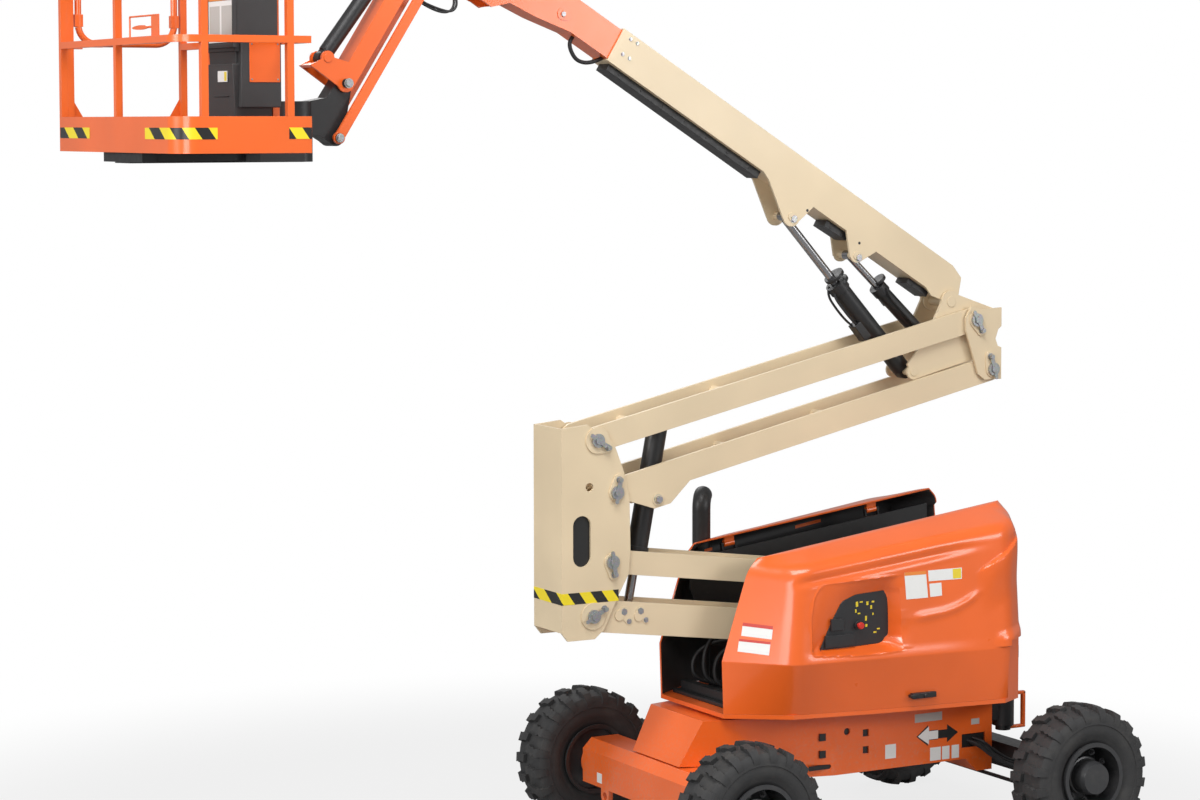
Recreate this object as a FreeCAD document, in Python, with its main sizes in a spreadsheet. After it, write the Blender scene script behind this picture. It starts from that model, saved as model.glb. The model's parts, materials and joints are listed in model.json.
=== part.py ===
import FreeCAD, Part
import Sketcher
import math
import os

# Articulating boom lift: a four-wheel rough-terrain chassis, a turntable with swing-up hoods,
# a two-stage parallelogram tower, a telescoping main boom, a jib and a work platform.
# Millimetres. +X points to the steered axle, +Z up. The swing axis stands at x = y = 0 while
# the pieces are drawn, and every piece is then moved by origin_shift, so that the whole machine
# has the middle of its ground outline at the origin.

Vector = FreeCAD.Vector
doc = FreeCAD.newDocument("ArticulatingBoomLift")

SIZES = {
    # running gear
    "wheelbase": 2368,
    "track_width": 1974,
    "tyre_radius": 433,
    "tyre_width": 318,
    "tyre_crown_half": 99,
    "tyre_crown_drop": 30,
    "tread_depth": 36,
    "tread_root": 10,
    "tread_half": 150,
    "tread_gap": 12,
    "bar_width": 52,
    "bar_lead": 8,
    "rim_radius": 218,
    "rim_flange_depth": 14,
    "rim_wall": 12,
    "rim_disc_thickness": 16,
    "rim_disc_inset": 62,
    "drive_hub_radius": 104,
    "drive_hub_reach": 24,
    "hub_spindle_radius": 58,
    "running_clearance": 0.3,
    "side_clearance": 6,
    "rear_beam_length": 250,
    "rear_beam_height": 270,
    "rear_beam_floor": 318,
    "rear_beam_chamfer": 62,
    "beam_flange_radius": 118,
    "beam_flange_width": 34,
    "front_beam_depth": 150,
    "front_beam_height": 150,
    "kingpin_offset": 262,
    "kingpin_radius": 32,
    "knuckle_radius": 92,
    "knuckle_height": 180,
    "yoke_thickness": 30,
    "yoke_half_width": 78,
    "steer_arm_length": 190,
    "steer_arm_width": 56,
    "steer_arm_thickness": 26,
    "steer_rod_radius": 20,
    # chassis box
    "chassis_half_width": 500,
    "chassis_top": 862,
    "chassis_floor": 486,
    "chassis_front": 890,
    "chassis_rear_top": 1090,
    "chassis_rear_foot": 1238,
    "chassis_foot_top": 596,
    "chassis_tail_half_width": 276,
    "chassis_taper_start": 280,
    "axle_mount_drop": 84,
    "axle_mount_start": 690,
    "side_hole_radius": 22,
    "side_hole_x": 189,
    "side_hole_z": 744,
    "side_slot_radius": 14,
    "side_slot_left": 442,
    "side_slot_right": 312,
    "side_slot_z": 541,
    "side_window": 44,
    "side_window_left": 356,
    "side_window_right": 52,
    "side_window_high": 723,
    "side_window_low": 619,
    "side_plate": 40,
    "hose_port_left": 661,
    "hose_port_right": 838,
    "hose_port_floor": 556,
    "hose_port_top": 641,
    "lockout_radius": 68,
    "lockout_height": 204,
    "lockout_x": 1010,
    "lockout_y": 452,
    "lockout_floor": 662,
    "lug_hole_radius": 24,
    "lug_radius": 48,
    "lug_drop": 42,
    "lug_spread": 500,
    "lug_thickness": 30,
    "bearing_radius": 470,
    # turntable
    "tray_thickness": 26,
    "tray_floor": 879,
    "slot_half_width": 370,
    "tail_swing_radius": 1172,
    "tail_turn_near": 26,
    "tail_turn_far": 37,
    "low_front_x": 985,
    "low_bend_x": 640,
    "low_bend_y": 606,
    "low_side_x": 90,
    "low_side_y": 700,
    "low_tail_x": 770,
    "low_tail_y": 800,
    "crease_height": 1222,
    "crease_front_x": 996,
    "crease_bend_x": 692,
    "crease_bend_y": 706,
    "crease_side_x": 40,
    "crease_side_y": 762,
    "crease_tail_x": 790,
    "crease_tail_y": 826,
    "crease_tail_flare": 10,
    "top_height": 1925,
    "top_slope": 7.6,
    "top_front_x": 826,
    "top_bend_x": 600,
    "top_bend_y": 626,
    "top_side_x": 40,
    "top_side_y": 690,
    "top_tail_x": 800,
    "top_tail_y": 752,
    "top_tail_inset": 24,
    "shoulder_drop": 66,
    "crown_width": 40,
    "crown_front": 70,
    "crown_tail": 60,
    "hood_wall": 14,
    "hood_gap": 0.3,
    "hood_hinge_inset": 40,
    "hood_hinge_drop": 60,
    "hood_hinge_radius": 10,
    "hood_hinge_eye": 20,
    "hood_hinge_length": 70,
    "hood_hinge_foot": 24,
    "wall_thickness": 14,
    "wall_drop": 92,
    "wall_front_x": 780,
    "pocket_low_x": 533,
    "pocket_low_z": 1315,
    "pocket_mid_x": 405,
    "pocket_mid_z": 1545,
    "pocket_top_x": 66,
    "pocket_top_z": 1640,
    "pocket_end_x": 12,
    "pocket_end_z": 1360,
    "pocket_floor_y": 640,
    "pocket_wall": 14,
    "panel_thickness": 12,
    "tower_plate_gap": 316,
    "tower_plate_thickness": 22,
    "tower_foot_length": 620,
    "weight_face_x": 800,
    "weight_side_y": 782,
    "weight_top": 1262,
    "weight_gap": 14,
    "engine_length": 760,
    "engine_width": 216,
    "engine_height": 520,
    "exhaust_radius": 57,
    "exhaust_x": 605,
    "exhaust_y": 520,
    "exhaust_drop": 155,
    "exhaust_rise": 83,
    "exhaust_bend": 85,
    "exhaust_turn": 50,
    "exhaust_sweep": 80,
    # tower
    "tower_base_x": 1002,
    "tower_base_z": 1165,
    "pin_spread_x": 128,
    "pin_spread_z": 312,
    "upper_spread_x": 129,
    "upper_spread_z": 314,
    "upper_pin_rise": 721,
    "upper_pin_advance": 159,
    "arm_length": 2786,
    "lower_arm_angle": 7.5,
    "upper_arm_angle": 12.8,
    "arm_half_width": 150,
    "rail_thickness": 22,
    "top_arm_depth": 150,
    "mid_arm_depth": 153,
    "fold_arm_depth": 140,
    "base_arm_depth": 190,
    "pin_radius": 32,
    "pin_head_radius": 40,
    "pin_head_length": 22,
    "pin_clearance": 0.5,
    "pin_stub_depth": 46,
    "cross_tube_radius": 34,
    "upright_face": 208,
    "upright_rise": 1113,
    "upright_drop": 137,
    "upright_slot_back": 73,
    "upright_slot_radius": 59,
    "upright_slot_low": 354,
    "upright_slot_high": 537,
    "upright_hole_back": 22,
    "upright_hole_rise": 762,
    "upright_hole_radius": 25,
    "link_plate_gap": 316,
    "link_plate_thickness": 16,
    "boom_pivot_back": 283,
    "boom_pivot_rise": 429,
    "lift_base_back": 563,
    "level_base_back": 420,
    "level_base_rise": 215,
    "ear_thickness": 18,
    # tower cylinder and timing link
    "tower_rod_pin_x": 2463,
    "tower_rod_pin_z": 74,
    "trunnion_x": 276,
    "trunnion_drop": 125,
    "trunnion_reach": 14,
    "timing_half_width": 18,
    "tower_barrel_radius": 62,
    "tower_barrel_below": 360,
    "tower_barrel_above": 420,
    "tower_rod_radius": 27,
    "tower_rod_tail": 270,
    "timing_eye_radius": 27,
    "timing_half_depth": 15,
    "timing_pin_x": 2596,
    "timing_pin_z": 58,
    "lever_pin_back": 272,
    "lever_pin_drop": 52,
    # main boom and fly
    "boom_angle": 31.5,
    "boom_half_width": 98,
    "boom_depth": 218,
    "boom_wall": 8,
    "boom_rise": 207,
    "boom_reach": 2866,
    "boom_tail_back": 95,
    "lift_pin_reach": 1286,
    "lift_pin_drop": 140,
    "level_pin_reach": 752,
    "level_pin_drop": 103,
    "fly_clearance": 5,
    "pad_gap": 0.5,
    "pad_length": 110,
    "fly_tail": 330,
    "fly_wall": 7,
    "fly_nose_reach": 3747,
    "fly_nose_drop": 68,
    "fly_nose_radius": 84,
    "slave_pin_reach": 3256,
    "slave_pin_rise": 58,
    # cylinders
    "lift_barrel_radius": 58,
    "lift_barrel_length": 760,
    "lift_rod_radius": 27,
    "lift_rod_tail": 330,
    "rod_eye_radius": 28,
    "level_barrel_radius": 46,
    "level_barrel_length": 470,
    "level_rod_radius": 22,
    "level_rod_tail": 214,
    "cylinder_eye_width": 60,
    "cylinder_eye_radius": 48,
    # jib
    "jib_angle": 57.5,
    "jib_length": 1240,
    "jib_depth": 100,
    "jib_tube_start": 400,
    "jib_tube_end": 400,
    "jib_half_width": 84,
    "jib_pin_back": 214,
    "jib_pin_rise": 491,
    "jib_link_back": 55,
    "jib_link_drop": 304,
    "jib_link_depth": 56,
    "jib_link_thickness": 20,
    "jib_ram_height": 168,
    "jib_ram_radius": 44,
    "jib_base_half_width": 64,
    "jib_cheek_thickness": 13,
    "jib_pin_radius": 25,
    "jib_eye_half_width": 38,
    "jib_ram_foot": 60,
    "jib_ram_back": 160,
    "jib_ram_lift": 58,
    "jib_barrel_length": 600,
    "jib_rod_tail": 430,
    # platform
    "rotator_reach": 270,
    "rotator_radius": 92,
    "rotator_height": 120,
    "rotator_drop": 190,
    "rotator_top": 100,
    "platform_width": 1828,
    "platform_depth": 756,
    "platform_gap": 300,
    "platform_drop": 378,
    "floor_thickness": 24,
    "toe_board_height": 193,
    "toe_board_thickness": 4,
    "rail_height": 1100,
    "mid_rail_height": 614,
    "rail_tube": 38,
    "corner_radius": 130,
    "anchor_reach": 34,
    "anchor_spread": 460,
    "anchor_radius": 28,
    "anchor_thickness": 10,
    "anchor_hole_radius": 15,
    "gate_gap": 14,
    "gate_pin_radius": 8,
    "gate_pin_length": 30,
    "gate_bracket": 12,
    "gusset_size": 100,
    "rail_post_far": 520,
    "rail_post_near": 480,
    "near_post_left": 141,
    "near_post_right": 136,
    "support_depth": 58,
    "support_half_width": 300,
    "support_bearer": 80,
    "support_inset": 40,
    "console_width": 450,
    "console_depth": 270,
    "console_y": -600,
    "console_floor": 240,
    "console_rise": 70,
    "console_foot_depth": 150,
    "console_foot_gap": 110,
    "console_wall": 6,
}

sheet = doc.addObject("Spreadsheet::Sheet", "Sizes")
for row, (alias, number) in enumerate(SIZES.items(), start=1):
    sheet.set(f"A{row}", alias.replace("_", " "))
    sheet.set(f"B{row}", str(number))
    sheet.setAlias(f"B{row}", alias)
places = doc.addObject("Spreadsheet::Sheet", "Places")
doc.recompute()


class Size:
    # A number together with the sheet formula that gives it, so that one expression in this
    # script both draws a piece and binds its property.
    def __init__(self, value, formula):
        self.value = float(value)
        self.formula = formula

    def join(self, sign, other, value):
        return Size(value, f"({self.formula} {sign} {other.formula})")

    def __add__(self, other):
        other = as_size(other)
        return self.join("+", other, self.value + other.value)

    def __radd__(self, other):
        return as_size(other) + self

    def __sub__(self, other):
        other = as_size(other)
        return self.join("-", other, self.value - other.value)

    def __rsub__(self, other):
        return as_size(other) - self

    def __mul__(self, other):
        other = as_size(other)
        return self.join("*", other, self.value * other.value)

    def __rmul__(self, other):
        return as_size(other) * self

    def __truediv__(self, other):
        other = as_size(other)
        return self.join("/", other, self.value / other.value)

    def __neg__(self):
        return Size(-self.value, f"(0 - {self.formula})")


def as_size(number):
    if isinstance(number, Size):
        return number
    return Size(number, repr(number) if number >= 0 else f"(0 - {repr(-number)})")


def size(alias):
    return Size(sheet.get(alias), f"Sizes.{alias}")


def cosine(angle):
    return Size(math.cos(math.radians(angle.value)), f"cos({angle.formula})")


def sine(angle):
    return Size(math.sin(math.radians(angle.value)), f"sin({angle.formula})")


def keep(alias, number):
    # Store a worked-out place in the second sheet and return it as a short formula.
    row = len(PLACES) + 1
    PLACES[alias] = number.value
    places.set(f"A{row}", alias.replace("_", " "))
    places.set(f"B{row}", "=" + number.formula.replace("Places.", ""))
    places.setAlias(f"B{row}", alias)
    return Size(number.value, f"Places.{alias}")


PLACES = {}


def bind(thing, **values):
    for name, number in values.items():
        number = as_size(number)
        setattr(thing, name, number.value)
        if "." in number.formula and "Sizes" in number.formula or "Places" in number.formula:
            thing.setExpression(name, number.formula)
    return thing


def put(thing, x=0, y=0, z=0, axis=None, angle=0):
    # Place a piece: x, y, z and one turn about an axis, each bound to its formula.
    spot = [as_size(number) for number in (x, y, z)]
    turn = as_size(angle)
    rotation = FreeCAD.Rotation(axis, turn.value) if axis is not None else FreeCAD.Rotation()
    thing.Placement = FreeCAD.Placement(Vector(*[number.value for number in spot]), rotation)
    for letter, number in zip("xyz", spot):
        if "Sizes" in number.formula or "Places" in number.formula:
            thing.setExpression(f"Placement.Base.{letter}", number.formula)
    if "Sizes" in turn.formula or "Places" in turn.formula:
        thing.setExpression("Placement.Rotation.Angle", turn.formula)
    return thing


X_AXIS = Vector(1, 0, 0)
Y_AXIS = Vector(0, 1, 0)
Z_AXIS = Vector(0, 0, 1)


def block(x, y, z, turn_axis=None, turn=0):
    # A box between two values on each axis.
    box = doc.addObject("Part::Box", "Block")
    low = [as_size(pair[0]) for pair in (x, y, z)]
    high = [as_size(pair[1]) for pair in (x, y, z)]
    bind(box, Length=high[0] - low[0], Width=high[1] - low[1], Height=high[2] - low[2])
    return put(box, *low, axis=turn_axis, angle=turn)


def pin(x, z, radius, y, name="Pin"):
    # A cylinder along Y.
    round_bar = doc.addObject("Part::Cylinder", name)
    low, high = as_size(y[0]), as_size(y[1])
    bind(round_bar, Radius=radius, Height=high - low)
    return put(round_bar, x, high, z, axis=X_AXIS, angle=90)


def post(x, y, radius, z):
    # A cylinder along Z.
    round_bar = doc.addObject("Part::Cylinder", "Post")
    low, high = as_size(z[0]), as_size(z[1])
    bind(round_bar, Radius=radius, Height=high - low)
    return put(round_bar, x, y, low)


def bar(radius, x, y=0, z=0):
    # A cylinder along X between two values.
    round_bar = doc.addObject("Part::Cylinder", "Bar")
    low, high = as_size(x[0]), as_size(x[1])
    bind(round_bar, Radius=radius, Height=high - low)
    return put(round_bar, low, y, z, axis=Y_AXIS, angle=90)


def draw(points, name="Outline"):
    # A closed sketch whose corners are held by bound distances from the sketch's origin.
    sketch = doc.addObject("Sketcher::SketchObject", name)
    fill_sketch(sketch, points)
    return sketch


def fill_sketch(sketch, points):
    corners = [(as_size(x), as_size(z)) for x, z in points]
    spots = [Vector(x.value, z.value, 0) for x, z in corners]
    for start, end in zip(spots, spots[1:] + spots[:1]):
        sketch.addGeometry(Part.LineSegment(start, end), False)
    count = len(corners)
    for index in range(count):
        sketch.addConstraint(Sketcher.Constraint("Coincident", index, 2, (index + 1) % count, 1))
    for index, corner in enumerate(corners):
        for kind, number in zip(("DistanceX", "DistanceY"), corner):
            place = sketch.addConstraint(Sketcher.Constraint(kind, index, 1, number.value))
            if "Sizes" in number.formula or "Places" in number.formula:
                sketch.setExpression(f"Constraints[{place}]", number.formula)


def slab(points, y):
    # An outline in the XZ plane, thick along Y between two values.
    sketch = draw(points)
    low, high = as_size(y[0]), as_size(y[1])
    put(sketch, 0, high, 0, axis=X_AXIS, angle=90)
    plate = doc.addObject("Part::Extrusion", "Plate")
    plate.Base = sketch
    plate.DirMode = "Normal"
    plate.Solid = True
    return bind(plate, LengthFwd=high - low)


def sheet_plate(points, z):
    # An outline in the XY plane, thick along Z between two values.
    sketch = draw(points)
    low, high = as_size(z[0]), as_size(z[1])
    put(sketch, 0, 0, low)
    plate = doc.addObject("Part::Extrusion", "Plate")
    plate.Base = sketch
    plate.DirMode = "Normal"
    plate.Solid = True
    return bind(plate, LengthFwd=high - low)


def loft(sections):
    shell = doc.addObject("Part::Loft", "Loft")
    shell.Sections = sections
    shell.Solid = True
    shell.Ruled = True
    return shell


def union(*pieces):
    fused = doc.addObject("Part::MultiFuse", "Union")
    fused.Shapes = list(pieces)
    fused.Refine = True
    return fused


def common(*pieces):
    shared = doc.addObject("Part::MultiCommon", "Common")
    shared.Shapes = list(pieces)
    return shared


def within(shape, limit):
    # What two shapes share.
    shared = doc.addObject("Part::Common", "Shared")
    shared.Base = shape
    shared.Tool = limit
    return shared


def without(base, *tools):
    cut = doc.addObject("Part::Cut", "Cut")
    cut.Base = base
    cut.Tool = tools[0] if len(tools) == 1 else union(*tools)
    return cut


def mirrored(piece):
    # The same piece on the other side of the centre plane.
    copy = doc.addObject("Part::Mirroring", "Mirror")
    copy.Source = piece
    copy.Normal = Y_AXIS
    copy.Base = Vector(0, 0, 0)
    return copy


def pair(piece):
    return [piece, mirrored(piece)]


subparts = []


def subpart(label, pieces, x=0, y=0, z=0, angle=0):
    # One named piece of the machine, moved to its place and turned about Y.
    group = doc.addObject("Part::Compound", "Piece")
    group.Links = list(pieces) if isinstance(pieces, (list, tuple)) else [pieces]
    group.Label = label
    put(group, origin_shift + x, y, z, axis=Y_AXIS, angle=angle)
    subparts.append(group)
    return group


# ---------------------------------------------------------------- worked-out places
axle_x = keep("axle_x", size("wheelbase") / 2)
wheel_y = keep("wheel_y", size("track_width") / 2)
tyre_inner = keep("tyre_inner", wheel_y - size("tyre_width") / 2)
kingpin_y = keep("kingpin_y", wheel_y - size("kingpin_offset"))
hub_back = keep("hub_back", wheel_y - size("tyre_width") / 2 + size("rim_disc_inset"))
tray_top = keep("tray_top", size("tray_floor") + size("tray_thickness"))

cheek_outer = keep("cheek_outer", size("tower_plate_gap") / 2 + size("tower_plate_thickness"))

base_low = (size("tower_base_x"), size("tower_base_z"))
base_high = (base_low[0] + size("pin_spread_x"), base_low[1] + size("pin_spread_z"))
lower_run = keep("lower_run", size("arm_length") * cosine(size("lower_arm_angle")))
lower_lift = keep("lower_lift", size("arm_length") * sine(size("lower_arm_angle")))
upright_x = keep("upright_x", base_low[0] - lower_run)
upright_z = keep("upright_z", base_low[1] + lower_lift)
fold_x = keep("fold_x", upright_x + size("pin_spread_x"))
fold_z = keep("fold_z", upright_z + size("pin_spread_z"))
mid_x = keep("mid_x", upright_x + size("upper_pin_advance"))
mid_z = keep("mid_z", upright_z + size("upper_pin_rise"))
top_x = keep("top_x", mid_x - size("upper_spread_x"))
top_z = keep("top_z", mid_z + size("upper_spread_z"))
link_x = keep("link_x", mid_x + size("arm_length") * cosine(size("upper_arm_angle")))
link_z = keep("link_z", mid_z + size("arm_length") * sine(size("upper_arm_angle")))
boom_x = keep("boom_x", link_x - size("boom_pivot_back"))
boom_z = keep("boom_z", link_z + size("boom_pivot_rise"))
boom_cos = keep("boom_cos", cosine(size("boom_angle")))
boom_sin = keep("boom_sin", sine(size("boom_angle")))


def on_boom(reach, rise):
    # A point given along and across the main boom, in the machine's own axes.
    return (boom_x - reach * boom_cos + rise * boom_sin, boom_z + reach * boom_sin + rise * boom_cos)


nose = on_boom(size("fly_nose_reach"), -size("fly_nose_drop"))
nose_x = keep("nose_x", nose[0])
nose_z = keep("nose_z", nose[1])
jib_x = keep("jib_x", nose_x - size("jib_pin_back"))
jib_z = keep("jib_z", nose_z + size("jib_pin_rise"))
foot_x = keep("foot_x", jib_x - size("jib_length") * cosine(size("jib_angle")))
foot_z = keep("foot_z", jib_z - size("jib_length") * sine(size("jib_angle")))
rotator_x = keep("rotator_x", foot_x - size("rotator_reach"))
platform_z = keep("platform_z", foot_z - size("platform_drop"))
platform_right = keep("platform_right", rotator_x - size("platform_gap"))
platform_left = keep("platform_left", platform_right - size("platform_depth"))
machine_right = keep("machine_right", axle_x + size("tyre_radius"))
origin_shift = keep("origin_shift", -(platform_left + machine_right) / 2)
doc.recompute()


# ---------------------------------------------------------------- wheels
def revolve_body(name, points):
    # A PartDesign body turned about the Z axis from a half profile of radius and height.
    body = doc.addObject("PartDesign::Body", name)
    sketch = body.newObject("Sketcher::SketchObject", name + "Profile")
    plane = [item for item in body.Origin.OriginFeatures if item.Role == "XZ_Plane"][0]
    sketch.AttachmentSupport = [(plane, "")]
    sketch.MapMode = "FlatFace"
    fill_sketch(sketch, points)
    turned = body.newObject("PartDesign::Revolution", name + "Turned")
    turned.Profile = sketch
    turned.ReferenceAxis = (sketch, ["V_Axis"])
    turned.Angle = 360
    sketch.Visibility = False
    body.Tip = turned
    return body


def wheel_profile():
    # Rim and drive hub from the back of the disc to the hub cap; height 0 is the wheel's middle.
    half = size("tyre_width") / 2
    flange = size("rim_radius")
    barrel = flange - size("rim_flange_depth")
    inner = barrel - size("rim_wall")
    back = -half + size("rim_disc_inset")
    bore = size("hub_spindle_radius") + size("running_clearance")
    hub = size("drive_hub_radius")
    face = back + size("rim_disc_thickness") * 2
    return [
        (bore, back), (inner, back), (inner, -half + size("rim_wall")), (flange, -half),
        (flange, -half + size("rim_wall")), (barrel, -half + size("rim_wall") * 2),
        (barrel, half - size("rim_wall") * 2), (flange, half - size("rim_wall")),
        (flange, half), (inner, half), (inner, face), (hub, face),
        (hub, half - size("rim_wall")), (hub - size("rim_wall"), half + size("drive_hub_reach")),
        (0, half + size("drive_hub_reach")), (0, face), (bore, face),
    ]


TREAD_BARS = 20
TREAD_SIDES = TREAD_BARS * 2
BORE_SIDES = TREAD_BARS


def ring(radius, y, sides):
    # An even-sided prism round the wheel's axle, with a flat at its lowest point.
    low, high = as_size(y[0]), as_size(y[1])
    outline = doc.addObject("Part::RegularPolygon", "Ring")
    outline.Polygon = sides
    bind(outline, Circumradius=radius / math.cos(math.pi / sides))
    put(outline, 0, high, 0)
    outline.Placement.Rotation = FreeCAD.Rotation(X_AXIS, 90) * FreeCAD.Rotation(Z_AXIS, 180 / sides)
    prism = doc.addObject("Part::Extrusion", "Prism")
    prism.Base = outline
    prism.DirMode = "Normal"
    prism.Solid = True
    return bind(prism, LengthFwd=high - low)


def tread_bar():
    # One bar of the tread below the axle: its plan, cut to the tyre's profile.
    crown, inner, outer = size("tyre_radius"), size("tread_gap") / 2, size("tread_half")
    lead, width = size("bar_lead"), size("bar_width")
    plan = [(-width / 2 + lead, inner), (width / 2 + lead / 2, inner), (width / 2, outer), (-width / 2 - lead, outer)]
    floor = crown - size("tread_depth") - size("tread_root")
    shoulder = crown - size("tyre_crown_drop")
    profile = [(inner, -floor), (inner, -crown), (size("tyre_crown_half"), -crown), (outer, -shoulder), (outer, -floor)]
    side = slab(profile, (-width, width))
    turned = doc.addObject("Part::Compound", "BarSide")
    turned.Links = [side]
    put(turned, axis=Z_AXIS, angle=90)
    return common(sheet_plate(plan, (-crown - 1, -floor + 1)), turned)


def turned_copy(piece, angle):
    copy = doc.addObject("Part::Compound", "Turned")
    copy.Links = [piece]
    return put(copy, axis=Y_AXIS, angle=angle)


def tyre():
    half = size("tyre_width") / 2
    bead = size("rim_radius") - size("rim_flange_depth") + size("running_clearance")
    seat = size("rim_radius") + size("running_clearance")
    step = half - size("rim_wall") * 2
    bar_near = tread_bar()
    bar_far = mirrored(bar_near)
    pitch = 360 / TREAD_BARS
    bars = [turned_copy(bar_near, pitch * index) for index in range(TREAD_BARS)]
    bars += [turned_copy(bar_far, pitch * (index + 0.5)) for index in range(TREAD_BARS)]
    carcass = ring(size("tyre_radius") - size("tread_depth"), (-half, half), TREAD_SIDES)
    bore = ring(bead, (-half - 1, half + 1), BORE_SIDES)
    seats = [ring(seat, (step, half + 1), BORE_SIDES), ring(seat, (-half - 1, -step), BORE_SIDES)]
    return without(union(carcass, *bars), bore, *seats)


def wheel(end, side, sign):
    x = axle_x if end == "front" else -axle_x
    body = revolve_body(f"{end}{side}Wheel".title(), wheel_profile())
    body.Label = f"wheel_{end}_{side}"
    put(body, origin_shift + x, wheel_y * sign, size("tyre_radius"), axis=X_AXIS, angle=-90 * sign)
    subparts.append(body)
    subpart(f"tyre_{end}_{side}", tyres[side], x=x, y=wheel_y * sign, z=size("tyre_radius"))


near_tyre = tyre()
tyres = {"near": near_tyre, "far": mirrored(near_tyre)}
for end in ("rear", "front"):
    wheel(end, "near", -1)
    wheel(end, "far", 1)

axle_height = size("tyre_radius")
spindle_reach = hub_back - size("side_clearance")


# ---------------------------------------------------------------- axles and steering
def rear_axle():
    half_length = size("rear_beam_length") / 2
    floor = size("rear_beam_floor")
    roof = floor + size("rear_beam_height")
    edge = size("rear_beam_chamfer")
    reach = tyre_inner - size("beam_flange_width") - size("side_clearance") * 2
    outline = [
        (-axle_x - half_length, floor), (-axle_x + half_length, floor), (-axle_x + half_length, roof),
        (-axle_x - half_length + edge, roof), (-axle_x - half_length, roof - edge),
    ]
    beam = slab(outline, (-reach, reach))
    pieces = [beam]
    for sign in (-1, 1):
        span = (reach * sign, (reach + size("beam_flange_width")) * sign)
        stub = (reach * sign, (hub_back + size("rim_disc_thickness")) * sign)
        pieces.append(pin(-axle_x, axle_height, size("beam_flange_radius"), sorted_span(span)))
        pieces.append(pin(-axle_x, axle_height, size("hub_spindle_radius"), sorted_span(stub)))
        pieces.append(lug(-axle_x - half_length + size("lug_thickness") / 2, size("lug_spread") * sign, floor))
    return subpart("rear_axle", union(*pieces))


def sorted_span(span):
    low, high = as_size(span[0]), as_size(span[1])
    return (low, high) if low.value < high.value else (high, low)


def lug(x, y, z):
    # A tie-down lug: a plate under a beam, bored along X; z is the beam's underside.
    radius = size("lug_radius")
    half = size("lug_thickness") / 2
    drop = z - size("lug_drop")
    plate = union(block((x - half, x + half), (y - radius, y + radius), (drop, z + 1)), bar(radius, (x - half, x + half), y, drop))
    return without(plate, bar(size("lug_hole_radius"), (x - half - 1, x + half + 1), y, drop))


def front_axle():
    half_depth = size("front_beam_depth") / 2
    half_height = size("front_beam_height") / 2
    end = kingpin_y - size("knuckle_radius") - size("side_clearance")
    beam = block((axle_x - half_depth, axle_x + half_depth), (-end, end),
                 (axle_height - half_height, axle_height + half_height))
    pieces = [beam]
    inner = size("knuckle_height") / 2 + size("side_clearance")
    outer = inner + size("yoke_thickness")
    for sign in (-1, 1):
        for low, high in ((inner, outer), (-outer, -inner)):
            span = sorted_span((end * sign - sign, kingpin_y * sign))
            pieces.append(block((axle_x - size("yoke_half_width"), axle_x + size("yoke_half_width")),
                                span, (axle_height + low, axle_height + high)))
            pieces.append(post(axle_x, kingpin_y * sign, size("yoke_half_width"),
                               (axle_height + low, axle_height + high)))
        pieces.append(post(axle_x, kingpin_y * sign, size("kingpin_radius"),
                           (axle_height - outer - 8, axle_height + outer + 8)))
        wall = sorted_span(((end - size("yoke_thickness")) * sign, end * sign))
        pieces.append(block((axle_x - size("yoke_half_width"), axle_x + size("yoke_half_width")),
                            wall, (axle_height - outer, axle_height + outer)))
    pivot = block((size("chassis_front"), axle_x - half_depth + 1),
                  (-half_depth, half_depth), (axle_height - half_height * 0.7, axle_height + half_height * 0.9))
    lugs = [lug(axle_x + half_depth - size("lug_thickness") / 2, size("lug_spread") * sign, axle_height - half_height)
            for sign in (-1, 1)]
    return subpart("front_axle", union(*pieces, pivot, *lugs))


def knuckle(side, sign):
    half = size("knuckle_height") / 2
    bore = size("kingpin_radius") + size("running_clearance")
    boss = post(axle_x, kingpin_y * sign, size("knuckle_radius"), (axle_height - half, axle_height + half))
    reach = sorted_span((kingpin_y * sign, (hub_back - size("side_clearance")) * sign))
    hub = pin(axle_x, axle_height, size("knuckle_radius") * 0.94, reach)
    stub = pin(axle_x, axle_height, size("hub_spindle_radius"),
               sorted_span((kingpin_y * sign, (hub_back + size("rim_disc_thickness")) * sign)))
    arm_half = size("steer_arm_width") / 2
    arm_low = axle_height - half
    arm = block((axle_x - size("steer_arm_length"), axle_x),
                (kingpin_y * sign - arm_half, kingpin_y * sign + arm_half),
                (arm_low, arm_low + size("steer_arm_thickness")))
    arm_end = post(axle_x - size("steer_arm_length"), kingpin_y * sign, arm_half,
                   (arm_low, arm_low + size("steer_arm_thickness")))
    hole = post(axle_x, kingpin_y * sign, bore, (axle_height - half - 1, axle_height + half + 1))
    return subpart(f"knuckle_{side}", without(union(boss, hub, stub, arm, arm_end), hole))


def steering_link():
    # The steering rod slides across behind the front axle, its eyes just under the steering arms.
    top = axle_height - size("knuckle_height") / 2 - size("running_clearance")
    low = top - size("steer_arm_thickness")
    x = axle_x - size("steer_arm_length")
    eyes = [post(x, kingpin_y * sign, size("steer_arm_width") / 2, (low, top)) for sign in (-1, 1)]
    rod = pin(x, (low + top) / 2, size("steer_rod_radius") * 0.6, (-kingpin_y, kingpin_y))
    return subpart("steering_link", union(*eyes, rod))


rear_axle()
front_axle()
knuckle("near", -1)
knuckle("far", 1)
steering_link()


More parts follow.
